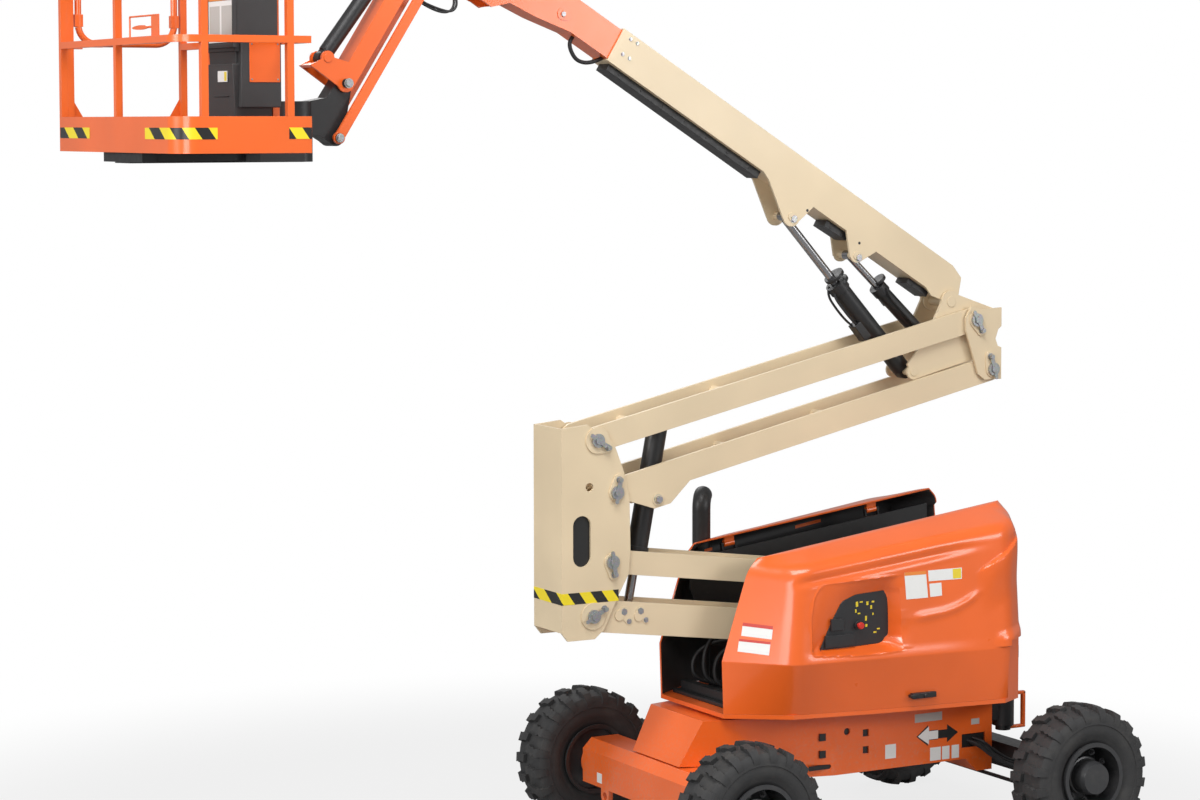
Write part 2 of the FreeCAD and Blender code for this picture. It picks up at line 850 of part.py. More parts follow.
# ---------------------------------------------------------------- chassis
def chassis_frame():
    # A closed box: deep between the axles, tapered in plan and cut away toward the rear beam.
    rear_face = -axle_x + size("rear_beam_length") / 2
    mount = size("chassis_floor") - size("axle_mount_drop")
    front, top = size("chassis_front"), size("chassis_top")
    side = [
        (-size("chassis_rear_foot"), size("chassis_foot_top")), (-size("chassis_rear_top"), top), (front, top),
        (front, mount), (size("axle_mount_start") + size("axle_mount_drop"), mount),
        (size("axle_mount_start"), size("chassis_floor")), (rear_face, size("chassis_floor")),
        (rear_face, size("rear_beam_floor") + size("rear_beam_height")),
    ]
    half = size("chassis_half_width")
    tail = size("chassis_tail_half_width")
    plan = [
        (-size("chassis_rear_foot"), -tail), (-size("chassis_taper_start"), -half), (front, -half),
        (front, half), (-size("chassis_taper_start"), half), (-size("chassis_rear_foot"), tail),
    ]
    body = common(slab(side, (-half - 1, half + 1)), sheet_plate(plan, (mount - 1, top + 1)))
    near = side_openings(half)
    return subpart("chassis_frame", without(body, near, mirrored(near)))


def side_openings(half):
    # What is cut into the near side: a lifting hole, four windows, a slot and the hose port.
    deep = (-half - 1, -half + size("side_plate"))
    window = size("side_window") / 2
    cuts = [pin(-size("side_hole_x"), size("side_hole_z"), size("side_hole_radius"), deep)]
    for x in (size("side_window_left"), size("side_window_right")):
        for z in (size("side_window_high"), size("side_window_low")):
            cuts.append(block((-x - window, -x + window), deep, (z - window, z + window)))
    left, right = size("side_slot_left"), size("side_slot_right")
    z, radius = size("side_slot_z"), size("side_slot_radius")
    cuts += [pin(-left, z, radius, deep), pin(-right, z, radius, deep),
             block((-left, -right), deep, (z - radius, z + radius))]
    cuts.append(block((size("hose_port_left"), size("hose_port_right")), deep,
                      (size("hose_port_floor"), size("hose_port_top"))))
    return union(*cuts)


def swing_bearing():
    top = size("tray_floor") - size("running_clearance")
    return subpart("swing_bearing", post(0, 0, size("bearing_radius"), (size("chassis_top"), top)))


def lockout_cylinders():
    # Two oscillation cylinders on brackets at the chassis nose, pushing down on the front axle.
    low = size("lockout_floor")
    body = post(size("lockout_x"), size("lockout_y"), size("lockout_radius"), (low, low + size("lockout_height")))
    cap = post(size("lockout_x"), size("lockout_y"), size("lockout_radius") * 0.7,
               (low - 30, low + size("lockout_height") - 1))
    bracket = block((size("chassis_front"), size("lockout_x")),
                    (size("lockout_y") - size("lockout_radius") * 0.5, size("lockout_y") + size("lockout_radius") * 0.5),
                    (low + 40, low + size("lockout_height") - 30))
    return subpart("lockout_cylinders", pair(union(body, cap, bracket)))


chassis_frame()
swing_bearing()
lockout_cylinders()


# ---------------------------------------------------------------- turntable
def tail_point(turn, flare):
    # A corner of the tail's round end, on the swing radius.
    reach = size("tail_swing_radius") + flare
    return (reach * cosine(turn), -reach * sine(turn))


def slot_end(name, reach, slot):
    # Where the tail's round end meets the slot line.
    slot = as_size(slot)
    return keep(name, Size(math.sqrt(reach.value ** 2 - slot.value ** 2), f"sqrt({reach.formula}^2 - {slot.formula}^2)"))


def hood_plan(name, level, flare, inset, slot):
    # Half plan of a hood at one level: front, bend, side, tail corner, tail end, slot line.
    x = {key: size(f"{level}_{key}_x") for key in ("front", "bend", "side", "tail")}
    y = {key: size(f"{level}_{key}_y") for key in ("bend", "side", "tail")}
    flare = as_size(flare) - inset
    end = slot_end(f"{name}_{level}_end", size("tail_swing_radius") + flare, slot)
    return [
        (-x["front"] + inset, -slot), (-x["bend"] + inset * 0.8, -y["bend"] + inset * 0.8),
        (-x["side"], -y["side"] + inset), (x["tail"] - inset * 0.5, -y["tail"] + inset),
        tail_point(size("tail_turn_far"), flare), tail_point(size("tail_turn_near"), flare), (end, -slot),
    ]


def crown_plan(name, inset, slot):
    # The narrow level strip beside the slot that the hood's top rises to.
    plan = hood_plan(name + "_crown", "top", -size("top_tail_inset"), inset, slot)
    edge = -slot - size("crown_width")
    moves = [size("crown_front"), size("crown_front"), as_size(0)] + [-size("crown_tail")] * 4
    spots = []
    for index, ((x, y), move) in enumerate(zip(plan, moves)):
        spots.append((x + move, y if index in (0, len(plan) - 1) else edge))
    return spots


def hood_solid(name, inset, bottom, drop, slot):
    slope = -size("top_slope")
    roof = size("top_height") - drop
    return loft([
        put(draw(hood_plan(name, "low", 0, inset, slot)), 0, 0, bottom),
        put(draw(hood_plan(name, "crease", size("crease_tail_flare"), inset, slot)), 0, 0, size("crease_height")),
        put(draw(hood_plan(name, "top", -size("top_tail_inset"), inset, slot)), 0, 0, roof - size("shoulder_drop"),
            axis=Y_AXIS, angle=slope),
        put(draw(crown_plan(name, inset, slot)), 0, 0, roof, axis=Y_AXIS, angle=slope),
    ])


def weight_outline(name, face, inner, gap):
    # Half plan of the counterweight between its front face, the tower's cheek and the tail's end.
    reach = size("tail_swing_radius") + gap
    end = slot_end(name + "_end", reach, inner)
    return [(face, -inner), (face, -size("weight_side_y") - gap),
            (reach * cosine(size("tail_turn_far")), -reach * sine(size("tail_turn_far"))),
            (reach * cosine(size("tail_turn_near")), -reach * sine(size("tail_turn_near"))), (end, -inner)]


def pocket_outline():
    # The recess that holds the ground controls, an outline on the hood's side.
    return [(-size("pocket_low_x"), size("pocket_low_z")), (-size("pocket_mid_x"), size("pocket_mid_z")),
            (-size("pocket_top_x"), size("pocket_top_z")), (size("pocket_end_x"), size("pocket_end_z"))]


def hinge_line(pieces):
    # Pieces drawn around a line along X, moved to the hood's hinge.
    return put(union(*pieces), 0, -size("slot_half_width") - size("hood_hinge_inset"),
               size("top_height") - size("hood_hinge_drop"), axis=Y_AXIS, angle=-size("top_slope"))


def hood_hinges():
    # Eyes inside the hood, round the pins that the inner wall carries.
    half = size("hood_hinge_length") / 2
    pieces = []
    for x in hinge_places():
        eye = bar(size("hood_hinge_eye"), (x - half, x + half))
        web = block((x - half, x + half), (-size("hood_hinge_eye"), size("hood_hinge_eye")),
                    (0, size("hood_hinge_drop") - size("hood_wall") / 2))
        pieces.append(without(union(eye, web), bar(size("hood_hinge_radius") + size("running_clearance"), (x - half - 1, x + half + 1))))
    return hinge_line(pieces)


def hinge_places():
    return (-size("top_bend_x") * 0.8, size("top_tail_x") * 0.75)


def hinge_pins():
    # Pins on two short arms each, on the inner wall.
    half = size("hood_hinge_length") / 2
    arm = size("wall_thickness")
    gap = size("side_clearance")
    back = size("hood_hinge_inset") + size("wall_thickness") / 2
    pieces = []
    for x in hinge_places():
        pieces.append(bar(size("hood_hinge_radius"), (x - half - gap - arm, x + half + gap + arm)))
        for low in (x - half - gap - arm, x + half + gap):
            radius = size("hood_hinge_radius")
            foot = (-radius - size("hood_hinge_foot") - arm, -radius - size("hood_hinge_foot"))
            pieces.append(block((low, low + arm), (-radius, back), foot))
            pieces.append(block((low, low + arm), (-radius, radius), (foot[0], radius)))
    return hinge_line(pieces)


def hood():
    slot = size("slot_half_width")
    outer = hood_solid("hood", as_size(0), tray_top + size("hood_gap"), as_size(0), slot)
    inner = hood_solid("inner", size("hood_wall"), tray_top, size("hood_wall"), slot - size("side_clearance"))
    gap = size("side_clearance")
    notch = sheet_plate(weight_outline("notch", size("weight_face_x") - gap, slot - gap, gap * 8),
                        (tray_top - 1, size("weight_top") + gap))
    return union(without(outer, inner, notch), hood_hinges())


def near_hood_with_pocket(shell):
    floor = size("pocket_floor_y")
    wall = size("pocket_wall")
    rim = slab([(x - wall if index < 2 else x + wall, z + wall if 0 < index < 3 else z - wall)
                for index, (x, z) in enumerate(pocket_outline())], (-size("low_tail_y") * 1.2, -floor + wall))
    skin = hood_solid("rim", size("hood_wall") / 2, tray_top, size("hood_wall") / 2, size("slot_half_width"))
    shape = union(shell, within(rim, skin))
    return without(shape, slab(pocket_outline(), (-size("low_tail_y") * 1.2, -floor)))


def control_panel():
    floor = size("pocket_floor_y")
    gap = size("hood_gap")
    outline = [(x + gap if index < 2 else x - gap, z - gap if 0 < index < 3 else z + gap)
               for index, (x, z) in enumerate(pocket_outline())]
    return subpart("control_panel", slab(outline, (-floor - size("panel_thickness"), -floor)))


def turntable_frame():
    slot = size("slot_half_width")
    half = hood_plan("tray", "low", 0, as_size(0), slot)
    plan = half + [(x, -y) for x, y in reversed(half)]
    tray = sheet_plate(plan, (size("tray_floor"), tray_top))
    gap = size("tower_plate_gap") / 2
    outer = cheek_outer
    reach = size("base_arm_depth") / 2
    cheek = slab([
        (base_low[0] - size("tower_foot_length"), tray_top - 1), (base_high[0] + reach * 0.7, tray_top - 1),
        (base_high[0] + reach * 0.85, base_high[1]), (base_high[0], base_high[1] + reach),
        (base_low[0] - reach, base_low[1] + reach), (base_low[0] - size("tower_foot_length"), tray_top + reach),
    ], (-outer, -gap))
    pins = [stub_pin(x, z, outer) for x, z in (base_low, base_high)]
    side = union(cheek, *pins)
    return subpart("turntable_frame", union(tray, side, mirrored(side)))


def stub_pin(x, z, outer):
    # A short pin on the near side: a head outside the plate and a stub through the arm's rail.
    head = pin(x, z, size("pin_head_radius"), (-outer - size("pin_head_length"), -outer + 1))
    stub = pin(x, z, size("pin_radius"), (-outer, -size("arm_half_width") + size("rail_thickness")))
    return union(head, stub)


def inner_walls():
    # Dark walls on both sides of the slot that the tower folds into, with the hoods' hinge pins.
    slot = size("slot_half_width")
    slope = sine(size("top_slope")) / cosine(size("top_slope"))
    front, tail = -size("wall_front_x"), size("low_tail_x") + size("weight_gap")
    back = size("tail_swing_radius") - size("crown_tail") * 3
    roof = size("top_height") - size("wall_drop")
    wall = slab([
        (-size("low_bend_x"), tray_top), (tail, tray_top), (tail, size("weight_top") + size("weight_gap")),
        (back, size("weight_top") + size("weight_gap")), (back, roof + back * slope), (front, roof + front * slope),
        (front, size("crease_height") + size("low_bend_x") / 2), (-size("low_bend_x"), size("crease_height")),
    ], (-slot, -slot + size("wall_thickness")))
    side = union(wall, hinge_pins())
    return subpart("inner_walls", pair(side))


def counterweight():
    inner = cheek_outer + size("pin_head_length") + size("weight_gap")
    block_half = sheet_plate(weight_outline("weight", size("weight_face_x"), inner, as_size(0)),
                             (tray_top, size("weight_top")))
    return subpart("counterweight", pair(block_half))


def engine():
    slot = size("slot_half_width")
    low = slot + size("hood_hinge_inset") / 2
    return subpart("engine", block((-size("engine_length") * 0.5, size("engine_length") * 0.5),
                                   (low, low + size("engine_width")), (tray_top, tray_top + size("engine_height"))))


def exhaust_span():
    # The stack's foot is inside the hood and its bend starts above it.
    return size("top_height") - size("exhaust_drop"), size("top_height") + size("exhaust_rise")


def exhaust_pipe():
    # The stack stands through the far hood's top and turns over, outward and to the front.
    x, y = -size("exhaust_x"), size("exhaust_y")
    foot, top = exhaust_span()
    bend, turn = size("exhaust_bend"), size("exhaust_turn")
    stack = post(x, y, size("exhaust_radius"), (foot, top))
    elbow = doc.addObject("Part::Torus", "Elbow")
    bind(elbow, Radius1=bend, Radius2=size("exhaust_radius"), Angle3=size("exhaust_sweep"))
    put(elbow, axis=X_AXIS, angle=90)
    upright_elbow = doc.addObject("Part::Compound", "UprightElbow")
    upright_elbow.Links = [elbow]
    put(upright_elbow, x + bend * cosine(turn), y + bend * sine(turn), top, axis=Z_AXIS, angle=turn + 180)
    return subpart("exhaust_pipe", union(stack, upright_elbow))


def far_hood(shell):
    # The far hood is the near one's mirror image, with a hole for the exhaust stack.
    foot, top = exhaust_span()
    hole = post(-size("exhaust_x"), size("exhaust_y"), size("exhaust_radius") + size("hood_gap"),
                (foot - size("exhaust_drop"), top))
    return without(mirrored(shell), hole)


turntable_frame()
near_hood = hood()
subpart("hood_near", near_hood_with_pocket(near_hood))
subpart("hood_far", far_hood(near_hood))
control_panel()
exhaust_pipe()
inner_walls()
counterweight()
engine()


# ---------------------------------------------------------------- tower
def rail_pair(depth, length, sign, cross_tubes):
    # Two side rails with round ends, bored for their pins, and the cross tubes between them.
    outer = size("arm_half_width")
    inner = outer - size("rail_thickness")
    span = (-outer, -inner)
    low_x, high_x = (0, length) if sign > 0 else (-length, 0)
    rail = union(block((low_x, high_x), span, (-depth / 2, depth / 2)),
                 pin(0, 0, depth / 2, span), pin(length * sign, 0, depth / 2, span))
    bore = size("pin_radius") + size("pin_clearance")
    rail = without(rail, pin(0, 0, bore, (-outer - 1, -inner + 1)),
                   pin(length * sign, 0, bore, (-outer - 1, -inner + 1)))
    tubes = [pin(x * sign, 0, size("cross_tube_radius"), (-inner - 1, inner + 1)) for x in cross_tubes]
    return [rail, mirrored(rail)] + tubes


def ear(x, z, radius, foot, thickness_span):
    # A lug that hangs from a rail: a round end at (x, z) joined to two foot points.
    return union(slab([foot[0], foot[1], (x + radius, z), (x - radius, z)], thickness_span),
                 pin(x, z, radius, thickness_span))


def base_arm():
    length = size("arm_length")
    depth = size("base_arm_depth")
    outer = size("arm_half_width")
    inner = outer - size("rail_thickness")
    pieces = rail_pair(depth, length, -1, (length * 0.35, length * 0.66))
    rod_eye = size("cylinder_eye_width") / 2 + size("running_clearance")
    timing_eye = size("timing_half_width") + size("running_clearance")
    for x, z, eye in ((size("tower_rod_pin_x"), size("tower_rod_pin_z"), rod_eye),
                      (size("timing_pin_x"), size("timing_pin_z"), timing_eye)):
        for sign in (-1, 1):
            pieces.append(pin(-x, z * 0.2, size("pin_radius") * 0.8, sorted_span((eye * sign, (inner + 1) * sign))))
            pieces.append(pin(-x, z * 0.2, size("pin_head_radius") * 0.8,
                              sorted_span(((outer - 1) * sign, (outer + 6) * sign))))
    return subpart("base_arm", union(*pieces), x=base_low[0], z=base_low[1], angle=size("lower_arm_angle"))


def fold_arm():
    length = size("arm_length")
    pieces = rail_pair(size("fold_arm_depth"), length, -1, (length * 0.35, length * 0.66))
    return subpart("fold_arm", union(*pieces), x=base_high[0], z=base_high[1], angle=size("lower_arm_angle"))


def mid_arm():
    length = size("arm_length")
    depth = size("mid_arm_depth")
    outer = size("arm_half_width")
    inner = outer - size("rail_thickness")
    pieces = rail_pair(depth, length, 1, (length * 0.32, length * 0.58))
    x, z = size("trunnion_x"), -size("trunnion_drop")
    radius = size("cylinder_eye_radius")
    plate = slab([(x - 202, -depth / 2 + 1), (x - 36, z - radius), (x + 77, z - radius), (x + 239, -depth / 2 + 1)],
                 (-outer, -inner))
    stub = pin(x, z, size("pin_radius") * 0.8,
               (-outer - 6, -size("tower_barrel_radius") - size("trunnion_reach") - size("running_clearance")))
    lever_x, lever_z = -size("lever_pin_back"), -size("lever_pin_drop")
    eye = size("cylinder_eye_width") / 2 + size("side_clearance")
    lever = slab([(0, depth / 2), (0, -depth / 2), (lever_x, lever_z - radius), (lever_x, lever_z + radius)],
                 (-eye - size("ear_thickness"), -eye))
    lever_pin = pin(lever_x, lever_z, size("pin_radius") * 0.7, (-eye - size("ear_thickness"), eye + size("ear_thickness")))
    collar = without(pin(0, 0, size("pin_radius") + 14, (-inner - 1, -eye)),
                     pin(0, 0, size("pin_radius") + size("pin_clearance"), (-inner - 2, -inner + 3)))
    pieces += pair(union(plate, stub)) + pair(union(lever, collar))
    return subpart("mid_arm", union(*pieces), x=mid_x, z=mid_z, angle=-size("upper_arm_angle"))


def top_arm():
    length = size("arm_length")
    pieces = rail_pair(size("top_arm_depth"), length, 1, (length * 0.12, length * 0.36))
    return subpart("top_arm", union(*pieces), x=top_x, z=top_z, angle=-size("upper_arm_angle"))


def upright():
    # Two side plates closed by a back plate, with the pins of all four arms.
    gap = size("link_plate_gap") / 2
    outer = gap + size("link_plate_thickness")
    back = -size("upright_face")
    advance = size("upper_pin_advance")
    spread = size("pin_spread_x")
    rise = size("upper_pin_rise")
    outline = [
        (back, -size("upright_drop") + 50), (back + 40, -size("upright_drop")), (11, -size("upright_drop")),
        (77, -83), (spread + 46, 116), (spread + 113, 233), (spread + 125, 364), (advance + 88, rise - 49),
        (advance + 52, rise + 117), (advance - 14, rise + 285), (-34, size("upright_rise") + 17),
        (back, size("upright_rise")),
    ]
    plate = slab(outline, (-outer, -gap))
    through = (-outer - 1, -gap + 1)
    slot_x, slot_radius = size("upright_slot_back"), size("upright_slot_radius")
    slot_low, slot_high = size("upright_slot_low"), size("upright_slot_high")
    slot = union(block((-slot_x - slot_radius, -slot_x + slot_radius), through, (slot_low, slot_high)),
                 pin(-slot_x, slot_low, slot_radius, through), pin(-slot_x, slot_high, slot_radius, through))
    hole = pin(-size("upright_hole_back"), size("upright_hole_rise"), size("upright_hole_radius"), through)
    spots = ((0, 0), (spread, size("pin_spread_z")), (advance, rise),
             (advance - size("upper_spread_x"), rise + size("upper_spread_z")))
    pins = [stub_pin(x, z, outer) for x, z in spots]
    side = union(without(plate, slot, hole), *pins)
    web = block((back, back + size("link_plate_thickness")), (-gap - 1, gap + 1),
                (-size("upright_drop") + 50, size("upright_rise")))
    return subpart("upright", union(side, mirrored(side), web), x=upright_x, z=upright_z)


def end_link():
    # The tower head: outer plates for the two upper arms, inner plates for boom and cylinders.
    gap = size("link_plate_gap") / 2
    outer = gap + size("link_plate_thickness")
    dx, dz = -size("upper_spread_x"), size("upper_spread_z")
    outline = [
        (-60, -66), (68, -66), (68, 134), (40, 145), (22, 190), (44, 250), (68, 268), (68, 386),
        (-76, 378), (-164, 400), (-206, 330), (-206, 250), (-110, -28),
    ]
    plate = union(slab(outline, (-outer, -gap)), stub_pin(0, 0, outer), stub_pin(dx, dz, outer))
    ear_in = size("boom_half_width") + size("side_clearance") - 1
    ear_out = ear_in + size("ear_thickness")
    pivot = (-size("boom_pivot_back"), size("boom_pivot_rise"))
    lift = (-size("lift_base_back"), as_size(0))
    level = (-size("level_base_back"), size("level_base_rise"))
    radius = size("cylinder_eye_radius")
    inner_plate = slab([
        (lift[0], -radius), (0, 90), (40, 190), (40, 380), (pivot[0] + 60, pivot[1] + 40), (pivot[0] - 40, pivot[1] + 60),
        (level[0] - radius, level[1]), (lift[0] - radius, radius),
    ], (-ear_out, -ear_in))
    bosses = [pin(x, z, radius, (-ear_out, -ear_in)) for x, z in (lift, level)]
    bosses.append(pin(pivot[0], pivot[1], 70, (-ear_out, -ear_in)))
    eye = size("cylinder_eye_width") / 2
    stubs = [pin(x, z, size("pin_radius") * 0.8, (-ear_out - 4, ear_out + 4)) for x, z in (lift, level)]
    stubs.append(pin(pivot[0], pivot[1], size("pin_radius"), (-ear_out - 4, ear_out + 4)))
    ties = [block((0, 40), (-gap - 1, gap + 1), (300, 370)), pin(dx / 2, dz / 2, 25, (-gap - 1, gap + 1))]
    side = union(plate, inner_plate, *bosses)
    return subpart("end_link", union(side, mirrored(side), *ties, *stubs), x=link_x, z=link_z)


base_arm()
fold_arm()
mid_arm()
top_arm()
upright()
end_link()


# ---------------------------------------------------------------- cylinders
def aim(start, end):
    # Length and angle about Y of a cylinder whose own axis runs along -X from its base eye.
    dx = start[0].value - end[0].value
    dz = end[1].value - start[1].value
    return math.hypot(dx, dz), math.degrees(math.atan2(dz, dx))


def cylinder(name, start, end, barrel_radius, barrel_length, rod_radius, rod_tail, trunnion=None):
    # Barrel with base eye, and a rod whose eye lies at the end pin; both drawn along -X.
    reach_value, turn = aim(start, end)
    run = start[0] - end[0]
    rise = end[1] - start[1]
    reach = keep(name + "_length", Size(reach_value, f"sqrt({run.formula}^2 + {rise.formula}^2)"))
    turn_value = turn
    angle = keep(name + "_turn", Size(turn_value, f"atan2({rise.formula}; {run.formula})"))
    half = size("cylinder_eye_width") / 2
    bore_radius = size("pin_radius") * 0.8 + size("pin_clearance")
    eye = pin(0, 0, size("cylinder_eye_radius"), (-half, half))
    first = size("cylinder_eye_radius") * 0.6
    if trunnion is not None:
        first = -trunnion
        side = barrel_radius + size("trunnion_reach")
        eye = pin(0, 0, size("pin_radius"), (-side, side))
    tube = bar(barrel_radius, (-barrel_length, -first))
    gland = bar(barrel_radius + 8, (-barrel_length, -barrel_length + 60))
    hollow = bar(rod_radius + size("running_clearance"), (-barrel_length - 1, -first - 40))
    barrel = without(union(tube, gland), hollow)
    if trunnion is None:
        barrel = without(union(barrel, eye), pin(0, 0, bore_radius, (-half - 1, half + 1)))
    else:
        barrel = without(union(barrel, eye), bar(rod_radius + size("running_clearance"), (-barrel_length - 1, -first - 40)))
    subpart(name + "_barrel", barrel, x=start[0], z=start[1], angle=angle)
    rod = bar(rod_radius, (-reach + size("cylinder_eye_radius") * 0.5, -rod_tail))
    rod_eye = pin(-reach, 0, size("rod_eye_radius"), (-half, half))
    rod = without(union(rod, rod_eye), pin(-reach, 0, bore_radius, (-half - 1, half + 1)))
    subpart(name + "_rod", rod, x=start[0], z=start[1], angle=angle)
    return reach, angle


lift_base = (link_x - size("lift_base_back"), link_z)
lift_end = on_boom(size("lift_pin_reach"), -size("lift_pin_drop"))
level_base = (link_x - size("level_base_back"), link_z + size("level_base_rise"))
level_end = on_boom(size("level_pin_reach"), -size("level_pin_drop"))


def on_arm(start, angle, reach, rise, sign):
    # A point given along and across a tower arm, in the machine's own axes.
    return (start[0] + sign * reach * cosine(angle) + sign * -1 * rise * sine(angle) * -1 * sign * sign,
            start[1] + reach * sine(angle) + rise * cosine(angle))


rod_end = (base_low[0] - size("tower_rod_pin_x") * cosine(size("lower_arm_angle")),
           base_low[1] + size("tower_rod_pin_x") * sine(size("lower_arm_angle")))
trunnion = (mid_x + size("trunnion_x") * cosine(size("upper_arm_angle")) + size("trunnion_drop") * sine(size("upper_arm_angle")),
            mid_z + size("trunnion_x") * sine(size("upper_arm_angle")) - size("trunnion_drop") * cosine(size("upper_arm_angle")))
cylinder("tower_cylinder", trunnion, rod_end, size("tower_barrel_radius"), size("tower_barrel_below"),
         size("tower_rod_radius"), -size("tower_rod_tail"), trunnion=size("tower_barrel_above"))
cylinder("lift_cylinder", lift_base, lift_end, size("lift_barrel_radius"), size("lift_barrel_length"),
         size("lift_rod_radius"), size("lift_rod_tail"))
cylinder("level_cylinder", level_base, level_end, size("level_barrel_radius"), size("level_barrel_length"),
         size("level_rod_radius"), size("level_rod_tail"))


def timing_link():
    top = (mid_x - size("lever_pin_back") * cosine(size("upper_arm_angle")) + size("lever_pin_drop") * sine(size("upper_arm_angle")),
           mid_z - size("lever_pin_back") * sine(size("upper_arm_angle")) - size("lever_pin_drop") * cosine(size("upper_arm_angle")))
    low = (base_low[0] - size("timing_pin_x") * cosine(size("lower_arm_angle")),
           base_low[1] + size("timing_pin_x") * sine(size("lower_arm_angle")))
    reach_value, turn = aim(top, low)
    run, rise = top[0] - low[0], low[1] - top[1]
    reach = keep("timing_length", Size(reach_value, f"sqrt({run.formula}^2 + {rise.formula}^2)"))
    angle = keep("timing_turn", Size(turn, f"atan2({rise.formula}; {run.formula})"))
    half = size("timing_half_width")
    bore = size("pin_radius") * 0.7 + size("pin_clearance")
    radius = size("timing_eye_radius")
    depth = size("timing_half_depth")
    link = union(block((-reach, 0), (-half, half), (-depth, depth)), pin(0, 0, radius, (-half, half)),
                 pin(-reach, 0, radius, (-half, half)))
    holes = [pin(x, 0, bore, (-half - 1, half + 1)) for x in (0, -reach)]
    return subpart("timing_link", without(link, *holes), x=top[0], z=top[1], angle=angle)


timing_link()


# ---------------------------------------------------------------- main boom and fly
def main_boom():
    half = size("boom_half_width")
    top = size("boom_rise")
    low = top - size("boom_depth")
    wall = size("boom_wall")
    reach = size("boom_reach")
    tube = without(block((-reach, -size("boom_tail_back") - 40), (-half, half), (low, top)),
                   block((-reach - 1, -size("boom_tail_back") - 60), (-half + wall, half - wall), (low + wall, top - wall)))
    side = slab([
        (-size("boom_tail_back") - 60, top), (-size("boom_tail_back"), top), (2, top - 33), (60, 20), (-60, -20),
        (-138, -35), (-200, low), (-200, low + 10),
    ], (-half, -half + wall * 2))
    boss = pin(0, 0, 64, (-half, -half + wall * 2))
    gusset = [slab([(-1600, low + wall), (-1600, low), (-1539, -36), (-1330, -183), (-1240, -178), (-1181, low), (-1181, low + wall)],
                   (-half, -half + wall * 2)),
              slab([(-897, low + wall), (-897, low), (-790, -135), (-715, -130), (-640, low), (-640, low + wall)],
                   (-half, -half + wall * 2))]
    bosses = [pin(-size("lift_pin_reach"), -size("lift_pin_drop"), 60, (-half, -half + wall * 2)),
              pin(-size("level_pin_reach"), -size("level_pin_drop"), 44, (-half, -half + wall * 2))]
    eye = size("cylinder_eye_width") / 2 + size("running_clearance")
    stubs = []
    for x, z in ((size("lift_pin_reach"), size("lift_pin_drop")), (size("level_pin_reach"), size("level_pin_drop"))):
        stubs.append(pin(-x, -z, size("pin_radius") * 0.8, (-half - 5, -eye)))
    bore = pin(0, 0, size("pin_radius") + size("pin_clearance"), (-half - 1, half + 1))
    near = union(side, boss, *gusset, *bosses, *stubs)
    pad_in = half - wall - size("fly_clearance") + size("pad_gap")
    pad_low = low + wall + size("fly_clearance") - size("pad_gap")
    pad_top = top - wall - size("fly_clearance") + size("pad_gap")
    pads = without(block((-reach + 2, -reach + 2 + size("pad_length")), (-half + wall - 1, half - wall + 1), (low + wall - 1, top - wall + 1)),
                   block((-reach, -reach + 4 + size("pad_length")), (-pad_in, pad_in), (pad_low, pad_top)))
    tail_plate = block((-size("boom_tail_back") - 50, -size("boom_tail_back") - 34), (-half + 1, half - 1), (low, top - 1))
    return subpart("main_boom", without(union(tube, pads, near, mirrored(near)), bore), x=boom_x, z=boom_z, angle=size("boom_angle"))


def fly_boom():
    gap = size("boom_wall") + size("fly_clearance")
    half = size("boom_half_width") - gap
    top = size("boom_rise") - gap
    low = top - (size("boom_depth") - gap * 2)
    nose_x0 = -size("fly_nose_reach")
    nose_z0 = -size("fly_nose_drop")
    wall = size("fly_wall")
    tube = without(block((-size("boom_reach") - 286, -size("fly_tail")), (-half, half), (low, top)),
                   block((-size("boom_reach") - 285, -size("fly_tail") + 1), (-half + wall, half - wall), (low + wall, top - wall)))
    head = slab([
        (-size("boom_reach") - 285, low), (-size("boom_reach") - 285, top), (-3560, top), (nose_x0 - 70, nose_z0 + 60),
        (nose_x0 - 20, nose_z0 - 80), (-3660, nose_z0 - 82), (-3573, -67), (-3389, -45),
    ], (-half, half))
    boss = pin(nose_x0, nose_z0, size("fly_nose_radius"), (-half, half))
    fork = block((nose_x0 - 200, nose_x0 + 110), (-size("jib_base_half_width") - 6, size("jib_base_half_width") + 6), (nose_z0 - 200, top + 200))
    pins = pin(nose_x0, nose_z0, size("pin_radius"), (-half - 4, half + 4))
    return subpart("fly_boom", union(without(union(tube, head, boss), fork), pins), x=boom_x, z=boom_z, angle=size("boom_angle"))


main_boom()
fly_boom()


